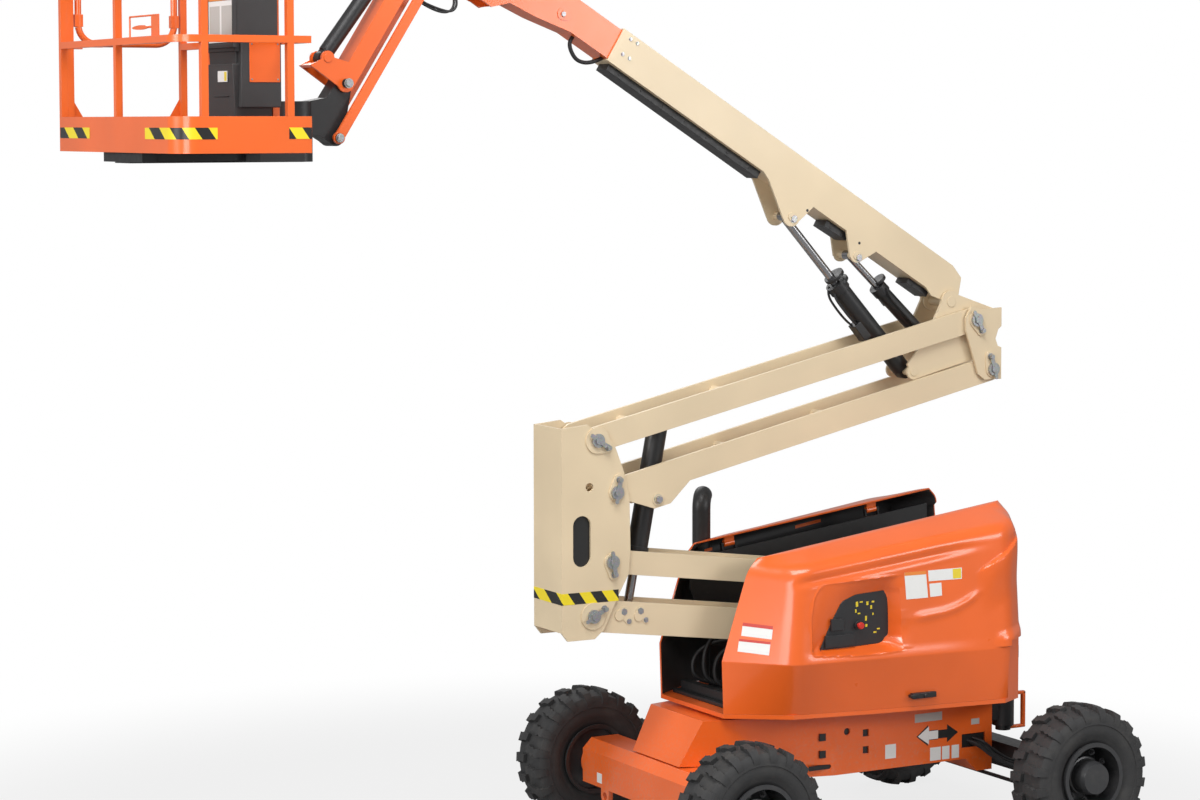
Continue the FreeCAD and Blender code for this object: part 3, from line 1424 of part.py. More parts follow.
# ---------------------------------------------------------------- jib
def jib_base():
    # The level bracket at the boom's nose: two cheeks that carry both jib pins above it, joined
    # below the jib, with the space between them left for the jib cylinder.
    half = size("jib_base_half_width")
    inner = half - size("jib_cheek_thickness")
    back = -size("jib_pin_back")
    rise = size("jib_pin_rise")
    low = (back - size("jib_link_back"), rise - size("jib_link_drop"))
    ram = (back + size("jib_ram_back") * jib_cos + size("jib_ram_lift") * -1 * jib_sin,
           rise + size("jib_ram_back") * jib_sin + size("jib_ram_lift") * jib_cos)
    cheek = slab([(40, -50), (60, 20), (ram[0] + 60, ram[1]), (ram[0] + 10, ram[1] + 50), (back - 40, rise + 40),
                  (low[0] - 50, low[1]), (low[0], low[1] - 50)], (-half, -inner))
    spots = ((0, 0, 66), (back, rise, 58), (low[0], low[1], 45), (ram[0], ram[1], 50))
    cheek = union(cheek, *[pin(x, z, radius, (-half, -inner)) for x, z, radius in spots])
    bore = pin(0, 0, size("pin_radius") + size("pin_clearance"), (-half - 1, half + 1))
    tie = slab([(-40, -30), (60, 20), (40, 120), (low[0] + 20, low[1] - 30)], (-inner - 1, inner + 1))
    reach = size("jib_half_width") + 4
    stub = pin(back, rise, size("jib_pin_radius"), (-reach, -inner + 1))
    ram_stub = pin(ram[0], ram[1], size("jib_pin_radius"), (-half, -size("jib_eye_half_width") - 3))
    link_pin = pin(low[0], low[1], size("jib_pin_radius"), (-reach - 34, reach + 34))
    side = union(cheek, stub, ram_stub)
    return subpart("jib_base", union(without(union(side, mirrored(side), tie), bore), link_pin), x=nose_x, z=nose_z)


def jib_arm():
    length = size("jib_length")
    half = size("jib_half_width")
    depth = size("jib_depth") / 2
    cheek = size("jib_base_half_width") + 5
    bore = size("jib_pin_radius") + size("pin_clearance")
    tube = block((-length + size("jib_tube_end"), -size("jib_tube_start")), (-half, half), (-depth, depth))
    roof = block((-length + 100, -length + size("jib_tube_end") + 1), (-half, half), (depth - size("boom_wall"), depth))
    plates = [block((-length, 0), (-half, -cheek), (-depth, depth)), pin(0, 0, depth, (-half, -cheek)),
              pin(-length, 0, depth, (-half, -cheek))]
    bracket = slab([(-length - 40, 20), (-length - 31, 237), (-length + 72, 172), (-length + 110, 44), (-length + 60, -20)],
                   (-half, -cheek))
    ram = (-length + size("jib_ram_foot"), size("jib_ram_height"))
    boss = pin(ram[0], ram[1], 40, (-half, -cheek))
    stub = pin(ram[0], ram[1], size("jib_pin_radius"), (-half - 4, 1))
    plates = union(*plates, bracket, boss, stub)
    closing = slab([(-length - 31, 237), (-length + 10, 202), (-length - 4, 190), (-length - 34, 216)], (-cheek - 1, cheek + 1))
    holes = [pin(0, 0, bore, (-half - 1, half + 1)), pin(-length, 0, bore, (-half - 1, half + 1))]
    return subpart("jib_arm", without(union(tube, roof, plates, mirrored(plates), closing), *holes), x=jib_x, z=jib_z,
                   angle=-size("jib_angle"))


def jib_link():
    length = size("jib_length")
    inner = size("jib_half_width") + 8
    outer = inner + size("jib_link_thickness")
    depth = size("jib_link_depth") / 2
    bore = size("jib_pin_radius") + size("pin_clearance")
    rail = union(block((-length, 0), (-outer, -inner), (-depth, depth)), pin(0, 0, depth + 6, (-outer, -inner)),
                 pin(-length, 0, depth + 6, (-outer, -inner)))
    rail = without(rail, pin(0, 0, bore, (-outer - 1, -inner + 1)), pin(-length, 0, bore, (-outer - 1, -inner + 1)))
    return subpart("jib_link", pair(rail), x=jib_x - size("jib_link_back"), z=jib_z - size("jib_link_drop"),
                   angle=-size("jib_angle"))


def jib_foot():
    # The upright at the jib's lower end, and the rotator body that stands in front of it.
    half = size("jib_base_half_width")
    back, drop = -size("jib_link_back"), -size("jib_link_drop")
    centre = -size("rotator_reach")
    body = slab([(46, 0), (0, 50), (-50, 10), (-110, -80), (centre, -110), (centre, -290), (centre + 110, -290), (-60, drop - 46), (back + 40, drop - 20)],
                (-half, half))
    pieces = [body, pin(0, 0, 48, (-half, half)), pin(back, drop, 46, (-half, half)),
              post(centre, 0, size("rotator_radius"), (-size("rotator_drop") - size("rotator_height"), -size("rotator_top")))]
    reach = size("jib_half_width") + 4
    pins = [pin(0, 0, size("jib_pin_radius"), (-reach, reach)),
            pin(back, drop, size("jib_pin_radius"), (-reach - 34, reach + 34))]
    return subpart("jib_foot", union(*pieces, *pins), x=foot_x, z=foot_z)


def jib_cylinder():
    # The barrel is pinned in the bracket at the jib's foot and its rod in the level bracket.
    length = size("jib_length")
    low = (-length + size("jib_ram_foot"), size("jib_ram_height"))
    high = (size("jib_ram_back"), size("jib_ram_lift"))
    run, rise = high[0] - low[0], low[1] - high[1]
    reach = keep("jib_ram_length", Size(math.hypot(run.value, rise.value), f"sqrt({run.formula}^2 + {rise.formula}^2)"))
    tilt = keep("jib_ram_tilt", Size(math.degrees(math.atan2(rise.value, run.value)), f"atan2({rise.formula}; {run.formula}) / 1 deg"))
    half = size("jib_eye_half_width")
    bore = size("jib_pin_radius") + size("pin_clearance")
    barrel = union(bar(size("jib_ram_radius"), (40, size("jib_barrel_length"))), pin(0, 0, 38, (-half, half)),
                   block((0, 50), (-half, half), (-30, 30)))
    barrel = without(barrel, bar(size("level_rod_radius") + size("running_clearance"), (80, size("jib_barrel_length") + 1)),
                     pin(0, 0, bore, (-half - 1, half + 1)))
    rod = union(bar(size("level_rod_radius"), (size("jib_rod_tail"), reach - 20)), pin(reach, 0, 36, (-half, half)))
    rod = without(rod, pin(reach, 0, bore, (-half - 1, half + 1)))
    place = (jib_x + low[0] * jib_cos - low[1] * jib_sin, jib_z + low[0] * jib_sin + low[1] * jib_cos)
    subpart("jib_cylinder_barrel", barrel, x=place[0], z=place[1], angle=-size("jib_angle") + tilt)
    subpart("jib_cylinder_rod", rod, x=place[0], z=place[1], angle=-size("jib_angle") + tilt)


jib_cos = keep("jib_cos", cosine(size("jib_angle")))
jib_sin = keep("jib_sin", sine(size("jib_angle")))
jib_base()
jib_arm()
jib_link()
jib_foot()
jib_cylinder()


# ---------------------------------------------------------------- platform
def rail_ring(z):
    # One level of the rail: open over the gate, with a round corner at its outer near side.
    tube = size("rail_tube")
    side = size("platform_width") / 2
    radius = size("corner_radius")
    outer = ring_plate(as_size(0), radius, (z, z + tube))
    inner = ring_plate(tube, radius - tube, (z - 1, z + tube + 1))
    opening = block((platform_left + tube * 2, platform_right - tube), (side - tube - 1, side + 1), (z - 1, z + tube + 1))
    return without(outer, inner, opening)


def mid_rail():
    # The middle rail, with the bracket and pin that the gate turns on.
    side = size("platform_width") / 2
    tube = size("rail_tube")
    low = platform_z + size("mid_rail_height") - tube
    start = platform_left + tube * 2
    hinge_x = start + tube / 2 + size("gate_gap")
    bracket = block((start - 1, hinge_x + tube / 2), (side - tube, side), (low, low + size("gate_bracket")))
    hinge_pin = post(hinge_x, side - tube / 2, size("gate_pin_radius"), (low, gate_floor() + size("gate_pin_length")))
    return subpart("platform_mid_rail", union(rail_ring(low), bracket, hinge_pin, *lanyard_anchors(low)))


def lanyard_anchors(z):
    # Bored plates on the inside of the outer long rail.
    start = platform_left + size("rail_tube")
    reach = size("anchor_reach")
    plates = []
    for sign in (-1, 1):
        y = size("anchor_spread") * sign
        plate = union(block((start - 1, start + reach), (y - size("anchor_radius"), y + size("anchor_radius")),
                            (z, z + size("anchor_thickness"))),
                      post(start + reach, y, size("anchor_radius"), (z, z + size("anchor_thickness"))))
        plates.append(without(plate, post(start + reach, y, size("anchor_hole_radius"), (z - 1, z + size("anchor_thickness") + 1))))
    return plates


def platform_posts():
    # Square posts from the deck to the middle rail and from there to the top rail.
    left, right = platform_left, platform_right
    side = size("platform_width") / 2
    tube = size("rail_tube")
    mid_top = platform_z + size("mid_rail_height")
    spans = ((platform_z + size("toe_board_height"), mid_top - tube), (mid_top, platform_z + size("rail_height") - tube))
    places = [(left, -tube / 2), (left, side - tube), (left + tube, side - tube), (right - tube, side - tube),
              (right - tube, size("rail_post_far")), (right - tube, -size("rail_post_near")),
              (left + size("near_post_left"), -side), (right - size("near_post_right"), -side)]
    posts = [block((x, x + tube), (y, y + tube), span) for x, y in places for span in spans]
    return subpart("platform_posts", posts)


def platform_toe_board():
    # The kick board round the deck, with the gussets at the gate's posts.
    left, right = platform_left, platform_right
    side = size("platform_width") / 2
    tube = size("rail_tube")
    radius = size("corner_radius")
    board = size("toe_board_thickness")
    foot = platform_z + size("toe_board_height")
    ring = without(ring_plate(as_size(0), radius, (platform_z, foot)),
                   ring_plate(board, radius - board, (platform_z - 1, foot + 1)))
    gusset = size("gusset_size")
    reach = gusset * 0.6
    thick = (side - board * 2, side)
    gussets = [slab([(left + tube * 2, foot - 1), (left + tube * 2 + reach, foot - 1), (left + tube * 2, foot + gusset)], thick),
               slab([(right - tube, foot - 1), (right - tube, foot + gusset), (right - tube - reach, foot - 1)], thick)]
    return subpart("platform_toe_board", union(ring, *gussets))


def gate_floor():
    return platform_z + size("mid_rail_height") - size("rail_tube") + size("gate_bracket") + size("running_clearance")


def ring_plate(inset, radius, z):
    # The platform's plan, with one round corner at its outer near side.
    left, right = platform_left + inset, platform_right - inset
    side = size("platform_width") / 2 - inset
    plate = union(block((left + radius, right), (-side, side), z), block((left, right), (-side + radius, side), z),
                  post(left + radius, -side + radius, radius, z))
    return plate


def platform_floor():
    board = size("toe_board_thickness") + size("running_clearance")
    return subpart("platform_floor", ring_plate(board, size("corner_radius") - board,
                                                (platform_z, platform_z + size("floor_thickness"))))


def platform_support():
    # Arm from the rotator under the platform's floor, with two cross bearers and two long beams.
    low = platform_z - size("support_depth")
    half = size("support_half_width")
    bearer = size("support_bearer")
    left = platform_left + size("support_inset")
    right = platform_right - size("support_inset")
    pieces = [block((left, rotator_x), (-half * 0.4, half * 0.4), (low, platform_z))]
    for x in (left, right - bearer):
        pieces.append(block((x, x + bearer), (-half, half), (low + 6, platform_z)))
    for sign in (-1, 1):
        middle = half * 0.8 * sign
        pieces.append(block((left, right), (middle - bearer / 4, middle + bearer / 4), (low + 12, platform_z)))
    foot = foot_z - size("rotator_drop") - size("rotator_height")
    pieces.append(post(rotator_x, 0, size("rotator_radius"), (low, foot - size("running_clearance"))))
    return subpart("platform_support", union(*pieces))


def platform_gate():
    side = size("platform_width") / 2
    tube = size("rail_tube")
    left = platform_left + tube * 2 + size("gate_gap")
    right = platform_right - tube - size("gate_gap")
    floor = gate_floor()
    top = platform_z + size("rail_height")
    bars = [block((left, right), (side - tube, side), (z, z + tube)) for z in (floor, top - tube)]
    ends = [block((x, x + tube), (side - tube, side), (floor, top)) for x in (left, right - tube)]
    bore = post(left + tube / 2, side - tube / 2, size("gate_pin_radius") + size("running_clearance"),
                (floor - 1, floor + size("gate_pin_length") + 2))
    return subpart("platform_gate", without(union(*bars, *ends), bore))


def control_console():
    # The housing hangs on the boom-side rails, with a narrower foot that ends above the deck.
    y = size("console_y")
    right = platform_right - size("rail_tube")
    foot_z = platform_z + size("floor_thickness") + size("console_foot_gap")
    width = size("console_width")
    upper = block((right - size("console_depth"), right), (y, y + width),
                  (platform_z + size("console_floor"), platform_z + size("rail_height") + size("console_rise")))
    foot = block((right - size("console_depth"), right - size("console_depth") + size("console_foot_depth")),
                 (y + width * 0.1, y + width), (foot_z, platform_z + size("console_floor") + 1))
    wall = size("console_wall")
    hollow = block((right - size("console_depth") + wall, right - wall), (y + wall, y + width - wall),
                   (platform_z + size("console_floor") - 1, platform_z + size("rail_height") + size("console_rise") - wall))
    return subpart("control_console", without(union(upper, foot), hollow))


subpart("platform_top_rail", rail_ring(platform_z + size("rail_height") - size("rail_tube")))
mid_rail()
platform_posts()
platform_toe_board()
platform_floor()
platform_support()
platform_gate()
control_console()

# ---------------------------------------------------------------- check and write
doc.recompute()
faults = [thing.Name for thing in doc.Objects if "Invalid" in thing.State or "Error" in thing.State]
if faults:
    raise RuntimeError(f"failed objects: {faults}")
for piece in subparts:
    if piece.Shape.isNull() or not piece.Shape.isValid():
        raise RuntimeError(f"bad shape: {piece.Label}")
os.makedirs("parts", exist_ok=True)
for piece in subparts:
    piece.Shape.exportStep(os.path.join("parts", piece.Label + ".step"))
    box = piece.Shape.BoundBox
    print(f"{piece.Label:24s} solids {len(piece.Shape.Solids):2d} volume {piece.Shape.Volume / 1e6:9.3f} "
          f"x {box.XMin:8.1f} {box.XMax:8.1f} y {box.YMin:7.1f} {box.YMax:7.1f} z {box.ZMin:7.1f} {box.ZMax:7.1f}")
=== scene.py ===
import json
import math

import bmesh
import bpy
from mathutils import Matrix, Vector
from mathutils.bvhtree import BVHTree
from mathutils.geometry import convex_hull_2d


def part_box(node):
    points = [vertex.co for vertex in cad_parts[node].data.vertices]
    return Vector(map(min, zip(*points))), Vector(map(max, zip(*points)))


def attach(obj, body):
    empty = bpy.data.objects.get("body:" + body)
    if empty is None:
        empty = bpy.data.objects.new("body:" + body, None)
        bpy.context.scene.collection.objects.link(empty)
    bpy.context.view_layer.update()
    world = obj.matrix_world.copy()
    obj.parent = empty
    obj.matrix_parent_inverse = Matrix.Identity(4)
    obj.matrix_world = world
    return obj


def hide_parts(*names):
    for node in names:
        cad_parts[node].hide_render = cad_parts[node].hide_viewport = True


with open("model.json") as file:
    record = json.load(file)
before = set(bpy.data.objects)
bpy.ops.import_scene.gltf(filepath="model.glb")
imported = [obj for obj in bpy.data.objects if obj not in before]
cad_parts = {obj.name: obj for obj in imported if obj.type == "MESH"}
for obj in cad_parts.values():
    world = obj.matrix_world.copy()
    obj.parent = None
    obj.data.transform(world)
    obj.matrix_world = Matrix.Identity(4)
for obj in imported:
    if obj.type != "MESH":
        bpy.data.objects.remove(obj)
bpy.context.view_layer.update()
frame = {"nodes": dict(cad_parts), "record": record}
print("frame loaded:", len(frame["nodes"]), "nodes")


# wraps a socket, so that shader maths reads as an expression
class Wire:
    def __init__(self, tree, socket):
        self.tree = tree
        self.socket = socket

    def combine(self, operation, first, second):
        node = self.tree.nodes.new("ShaderNodeMath")
        node.operation = operation
        plug(self.tree, node.inputs[0], first)
        plug(self.tree, node.inputs[1], second)
        return Wire(self.tree, node.outputs[0])

    def __add__(self, other):
        return self.combine("ADD", self, other)

    def __sub__(self, other):
        return self.combine("SUBTRACT", self, other)

    def __mul__(self, other):
        return self.combine("MULTIPLY", self, other)

    def __gt__(self, other):
        return self.combine("GREATER_THAN", self, other)

    def __mod__(self, other):
        return self.combine("FLOORED_MODULO", self, other)

    def __rsub__(self, other):
        return self.combine("SUBTRACT", other, self)

    __radd__ = __add__
    __rmul__ = __mul__

    def higher(self, other):
        return self.combine("MAXIMUM", self, other)

    def size(self):
        return self.combine("ABSOLUTE", self, 0)


def plug(tree, socket, value):
    if isinstance(value, Wire):
        tree.links.new(value.socket, socket)
    else:
        socket.default_value = value


# one material: its shader's plain values are given at once, and node() adds any other node
class Finish:
    coatRoughness = 0.12

    def __init__(self, name, colour, roughness, metallic=0.0, coat=0.0):
        self.material = bpy.data.materials.new(name)
        self.material.use_nodes = True
        self.tree = self.material.node_tree
        self.shader = self.tree.nodes["Principled BSDF"]
        self.material.diffuse_color = solid(colour)
        self.set("Base Color", solid(colour))
        self.set("Roughness", roughness)
        self.set("Metallic", metallic)
        self.set("Coat Weight", coat)
        self.shader.inputs["Coat Roughness"].default_value = self.coatRoughness

    def set(self, name, value):
        plug(self.tree, self.shader.inputs[name], value)

    def node(self, kind, settings=None, values=None, out=0):
        node = self.tree.nodes.new("ShaderNode" + kind)
        for key, value in (settings or {}).items():
            setattr(node, key, value)
        for key, value in (values or {}).items():
            plug(self.tree, node.inputs[key], value)
        return Wire(self.tree, node.outputs[out])

    def place(self):
        return self.node("TexCoord", out="Object")

    def axes(self):
        split = self.node("SeparateXYZ", values={0: self.place()})
        outputs = split.socket.node.outputs
        return [Wire(self.tree, outputs[name]) for name in "XYZ"]

    def noise(self, scale, detail=3.0, rough=0.5):
        values = {"Vector": self.place(), "Scale": scale, "Detail": detail, "Roughness": rough}
        return self.node("TexNoise", values=values)

    def ramp(self, value, low, high):
        # 0 below low, 1 above high
        return self.node("MapRange", {"interpolation_type": "SMOOTHSTEP"},
                         {"Value": value, "From Min": low, "From Max": high})

    def blend(self, amount, first, second):
        # 6 and 7 are the node's colour inputs, 2 its colour output
        return self.node("Mix", {"data_type": "RGBA"}, {0: amount, 6: first, 7: second}, out=2)

    def relief(self, height, depth, strength, edgeRadius=None):
        # a bump from a height, and with an edge radius the edges also catch the light as if rounded
        values = {"Height": height, "Distance": depth, "Strength": strength}
        if edgeRadius:
            values["Normal"] = self.node("Bevel", {"samples": 4}, {"Radius": edgeRadius})
        self.set("Normal", self.node("Bump", values=values))

    def gloss(self, look, detail=4.0):
        # an uneven roughness
        uneven = self.noise(look["glossScale"], detail)
        self.set("Roughness", uneven * look["glossChange"] + look["smoothest"])

    def grain(self, look, detail=2.0):
        # a fine texture all over
        height = self.noise(look["grainScale"], detail)
        self.relief(height, look["grainDepth"], look["grainStrength"], look.get("edgeRadius"))


def solid(colour):
    return (*colour, 1)


def shade(colour, factor):
    return (*[min(1.0, part * factor) for part in colour], 1)


# colours of the machine's coats and materials
paints = {
    "orange": (0.88, 0.142, 0.018), "tan": (0.76, 0.615, 0.410), "black": (0.018, 0.018, 0.019),
    "rubber": (0.034, 0.034, 0.035), "rim": (0.062, 0.063, 0.066), "chrome": (0.40, 0.40, 0.41),
    "zinc": (0.42, 0.43, 0.44), "mesh": (0.30, 0.30, 0.31), "opening": (0.03, 0.03, 0.03),
    "dust": (0.42, 0.36, 0.29), "rubberDust": (0.075, 0.072, 0.068), "rimDust": (0.11, 0.105, 0.10),
    "tape": (0.86, 0.66, 0.02), "tapeYellow": (0.88, 0.70, 0.015), "tapeBlack": (0.012, 0.012, 0.012),
    "tapeWorn": (0.30, 0.27, 0.20),
}

# sprayed steel: the scales of every finish are in waves to a metre, and its lengths are in metres
spray = {
    "cloudScale": 1.6, "cloudDarkest": 0.93, "cloudBrightest": 1.05, "speckScale": 55.0,
    "cloudRange": (0.3, 0.75), "dustFoot": 0.15, "dustTop": 1.1, "dustShare": 0.32, "dustRoughness": 0.5,
    "dirtRange": (0.75, 1.15), "dirtCloud": 0.6,
    "glossScale": 9.0, "glossChange": 0.10, "grainScale": 190.0, "grainDepth": 0.00005, "grainStrength": 0.2,
    "edgeRadius": 0.003,
}


def sprayPaint(name, colour, roughness, coat):
    # faint cloudiness, orange peel in the gloss, and road dust on the low parts
    paint = Finish(name, colour, roughness, coat=coat)
    cloud = paint.noise(spray["cloudScale"], 2.0)
    speck = paint.noise(spray["speckScale"], 4.0)
    dark, bright = shade(colour, spray["cloudDarkest"]), shade(colour, spray["cloudBrightest"])
    base = paint.blend(paint.ramp(cloud, *spray["cloudRange"]), dark, bright)
    low = 1 - paint.ramp(paint.axes()[2], spray["dustFoot"], spray["dustTop"])
    patches = paint.ramp(speck + cloud * spray["dirtCloud"], *spray["dirtRange"])
    dirt = low * patches * spray["dustShare"]
    paint.set("Base Color", paint.blend(dirt, base, solid(paints["dust"])))
    gloss = paint.noise(spray["glossScale"], 5.0) * spray["glossChange"]
    paint.set("Roughness", gloss + dirt * spray["dustRoughness"] + (roughness - spray["glossChange"] / 2))
    paint.grain(spray)
    return paint.material


casting = {
    "scuffScale": 22.0, "scuffRange": (0.58, 0.72), "scuffShare": 0.5, "scuffBrightness": 3.2,
    "glossScale": 30.0, "glossChange": 0.25, "smoothest": 0.30,
    "grainScale": 340.0, "grainDepth": 0.0003, "grainStrength": 0.4, "edgeRadius": 0.002,
}


def castBlack():
    # satin black on castings and cylinders, with a fine texture and grey scuffs
    black = Finish("satin_black", paints["black"], 0.42)
    patches = black.noise(casting["scuffScale"], 8.0, rough=0.7)
    scuff = black.ramp(patches, *casting["scuffRange"]) * casting["scuffShare"]
    worn = shade(paints["black"], casting["scuffBrightness"])
    black.set("Base Color", black.blend(scuff, solid(paints["black"]), worn))
    black.gloss(casting)
    black.grain(casting, 3.0)
    return black.material


chromeRod = {
    "hairScale": 260.0, "hairRoughness": 0.08, "hairDepth": 0.00003, "hairStrength": 0.15,
    "oilScale": 7.0, "oilRange": (0.45, 0.7), "oilRoughness": 0.10, "smoothest": 0.20,
}


def hardChrome():
    # ground and chromed rod: bright, with hair lines on it and a film of oil
    chrome = Finish("hard_chrome", paints["chrome"], 0.26, metallic=1.0)
    hair = chrome.noise(chromeRod["hairScale"], 3.0)
    patches = chrome.ramp(chrome.noise(chromeRod["oilScale"], 3.0), *chromeRod["oilRange"])
    oil = patches * chromeRod["oilRoughness"]
    chrome.set("Roughness", hair * chromeRod["hairRoughness"] + oil + chromeRod["smoothest"])
    chrome.relief(hair, chromeRod["hairDepth"], chromeRod["hairStrength"])
    return chrome.material


plating = {
    "spangleScale": 260.0, "spangleShare": 0.18, "glossScale": 80.0, "glossChange": 0.3, "smoothest": 0.22,
    "grainScale": 300.0, "grainDepth": 0.0002, "grainStrength": 0.3,
}


def zincPlate():
    # plated bolts and pins, with small crystals in the colour
    zinc = Finish("zinc_plate", paints["zinc"], 0.36, metallic=0.9)
    cells = {"Vector": zinc.place(), "Scale": plating["spangleScale"]}
    spangle = zinc.node("TexVoronoi", {"feature": "F1"}, cells, out="Color")
    zinc.set("Base Color", zinc.blend(plating["spangleShare"], solid(paints["zinc"]), spangle))
    zinc.gloss(plating)
    zinc.grain(plating, 3.0)
    return zinc.material


moulding = {
    "cloudScale": 11.0, "dustRange": (0.42, 0.78), "dustShare": 0.45, "glossChange": 0.25, "smoothest": 0.60,
    "grainScale": 260.0, "lumpScale": 38.0, "lumpShare": 0.6, "grainDepth": 0.0012, "grainStrength": 0.5,
}


def tyreRubber():
    # moulded rubber, greyed by dust on the lugs' faces and in the sidewall's grooves
    rubber = Finish("tyre_rubber", paints["rubber"], 0.78)
    cloud = rubber.noise(moulding["cloudScale"], 6.0)
    dust = rubber.ramp(cloud, *moulding["dustRange"]) * moulding["dustShare"]
    clean, dusty = solid(paints["rubber"]), solid(paints["rubberDust"])
    rubber.set("Base Color", rubber.blend(dust, clean, dusty))
    rubber.set("Roughness", cloud * moulding["glossChange"] + moulding["smoothest"])
    lumps = rubber.noise(moulding["lumpScale"], 5.0) * moulding["lumpShare"]
    grain = rubber.noise(moulding["grainScale"], 3.0) * (1 - moulding["lumpShare"]) + lumps
    rubber.relief(grain, moulding["grainDepth"], moulding["grainStrength"])
    return rubber.material


rimCoat = {
    "dustScale": 14.0, "dustRange": (0.45, 0.8), "dustShare": 0.4,
    "glossScale": 25.0, "glossChange": 0.25, "smoothest": 0.26,
    "grainScale": 220.0, "grainDepth": 0.0002, "grainStrength": 0.3,
}


def rimPaint():
    # dark grey rims with dust in their recesses
    rim = Finish("rim_grey", paints["rim"], 0.38, metallic=0.35)
    dust = rim.ramp(rim.noise(rimCoat["dustScale"], 6.0), *rimCoat["dustRange"]) * rimCoat["dustShare"]
    rim.set("Base Color", rim.blend(dust, solid(paints["rim"]), solid(paints["rimDust"])))
    rim.gloss(rimCoat, 5.0)
    rim.grain(rimCoat)
    return rim.material


expanded = {
    "alongScale": 34.0, "acrossScale": 17.0, "openingEdge": 0.30, "strandEdge": 0.38,
    "glossScale": 60.0, "glossChange": 0.3, "smoothest": 0.35, "strandDepth": 0.003, "strandStrength": 0.8,
}


def deckMesh():
    # expanded steel: raised diamond strands, with the openings between them painted near-black as painted
    # shade seen through the holes
    deck = Finish("expanded_deck", paints["mesh"], 0.5, metallic=0.6)
    x, y, _ = deck.axes()
    along, across = x * expanded["alongScale"], y * expanded["acrossScale"]
    strand = ((along + across) % 1.0 - 0.5).size()
    other = ((along - across) % 1.0 - 0.5).size()
    web = deck.ramp(strand.higher(other), expanded["openingEdge"], expanded["strandEdge"])
    # the openings' near-black colour is painted shade for the space under the deck
    deck.set("Base Color", deck.blend(web, solid(paints["opening"]), solid(paints["mesh"])))
    deck.gloss(expanded)
    deck.relief(web, expanded["strandDepth"], expanded["strandStrength"])
    return deck.material


pebbled = {
    "pebbleScale": 420.0, "pebbleDepth": 0.0004, "pebbleStrength": 0.4, "pebbleRoughness": 0.2,
    "cloudScale": 6.0, "cloudDarkest": 0.85, "cloudBrightest": 1.25,
}


def mouldedPlastic(name, colour, roughness):
    # plastic with a fine pebbled face
    plastic = Finish(name, colour, roughness)
    pebble = plastic.noise(pebbled["pebbleScale"], 2.0)
    dark, bright = shade(colour, pebbled["cloudDarkest"]), shade(colour, pebbled["cloudBrightest"])
    plastic.set("Base Color", plastic.blend(plastic.noise(pebbled["cloudScale"], 3.0), dark, bright))
    smoothest = roughness - pebbled["pebbleRoughness"] / 2
    plastic.set("Roughness", pebble * pebbled["pebbleRoughness"] + smoothest)
    plastic.relief(pebble, pebbled["pebbleDepth"], pebbled["pebbleStrength"])
    return plastic.material


tapeLook = {
    "pitch": 0.15, "slantAcross": 0.5, "slantUp": 0.7,
    "wearScale": 70.0, "wearRange": (0.60, 0.72), "wearShare": 0.35,
    "glossScale": 30.0, "glossChange": 0.2, "smoothest": 0.28, "grainScale": 300.0, "grainDepth": 0.0002,
    "grainStrength": 0.2,
}


def hazardTape():
    # slanted black and yellow bars, which run on round a corner: x and y share the run of the bars
    tape = Finish("hazard_tape", paints["tape"], 0.38, coat=0.2)
    x, y, z = tape.axes()
    run = (x - y * tapeLook["slantAcross"] + z * tapeLook["slantUp"]) * (1.0 / tapeLook["pitch"])
    bar = (run % 1.0) > 0.5
    patches = tape.noise(tapeLook["wearScale"], 6.0, rough=0.7)
    wear = tape.ramp(patches, *tapeLook["wearRange"]) * tapeLook["wearShare"]
    bars = tape.blend(bar, solid(paints["tapeYellow"]), solid(paints["tapeBlack"]))
    tape.set("Base Color", tape.blend(wear, bars, solid(paints["tapeWorn"])))
    tape.gloss(tapeLook)
    tape.grain(tapeLook)
    return tape.material


filmLook = {
    "roughness": 0.35, "coat": 0.15,
    "scuffScale": 45.0, "scuffRange": (0.55, 0.75), "scuffShare": 0.25, "scuffBrightness": 0.72,
    "glossScale": 60.0, "glossChange": 0.2, "smoothest": 0.27, "grainScale": 500.0, "grainDepth": 0.0001,
    "grainStrength": 0.2,
}


def plainFilm(name, colour):
    # a blank label: vinyl film, slightly scuffed
    film = Finish(name, colour, filmLook["roughness"], coat=filmLook["coat"])
    patches = film.noise(filmLook["scuffScale"], 7.0, rough=0.7)
    scuff = film.ramp(patches, *filmLook["scuffRange"]) * filmLook["scuffShare"]
    film.set("Base Color", film.blend(scuff, solid(colour), shade(colour, filmLook["scuffBrightness"])))
    film.gloss(filmLook, 3.0)
    film.grain(filmLook)
    return film.material


finishes = {
    "orange_paint": sprayPaint("orange_paint", paints["orange"], 0.30, 0.5),
    "tan_paint": sprayPaint("tan_paint", paints["tan"], 0.42, 0.2),
    "black_paint": castBlack(),
    "rod_steel": hardChrome(),
    "rim_grey": rimPaint(),
    "tyre": tyreRubber(),
    "deck_steel": deckMesh(),
    "zinc": zincPlate(),
    "hose": mouldedPlastic("hose_cover", (0.016, 0.016, 0.017), 0.5),
    "console": mouldedPlastic("console_plastic", (0.04, 0.04, 0.041), 0.6),
    "panel": mouldedPlastic("panel_face", (0.022, 0.023, 0.025), 0.45),
    "red": mouldedPlastic("red_button", (0.62, 0.03, 0.02), 0.35),
    "yellow": plainFilm("yellow_mark", (0.80, 0.62, 0.03)),
    "white": plainFilm("white_film", (0.80, 0.80, 0.78)),
    "grey": plainFilm("grey_film", (0.50, 0.49, 0.46)),
    "redFilm": plainFilm("red_film", (0.60, 0.04, 0.025)),
    # black film: print on the chassis arrows, and also the painted shade in the tower slot, the boom's lug
    # holes and the chassis side openings
    "ink": plainFilm("black_film", (0.015, 0.015, 0.015)),
    "orangeFilm": plainFilm("orange_film", (0.80, 0.24, 0.03)),
    "hazard": hazardTape(),
}
print("finishes made:", len(finishes))


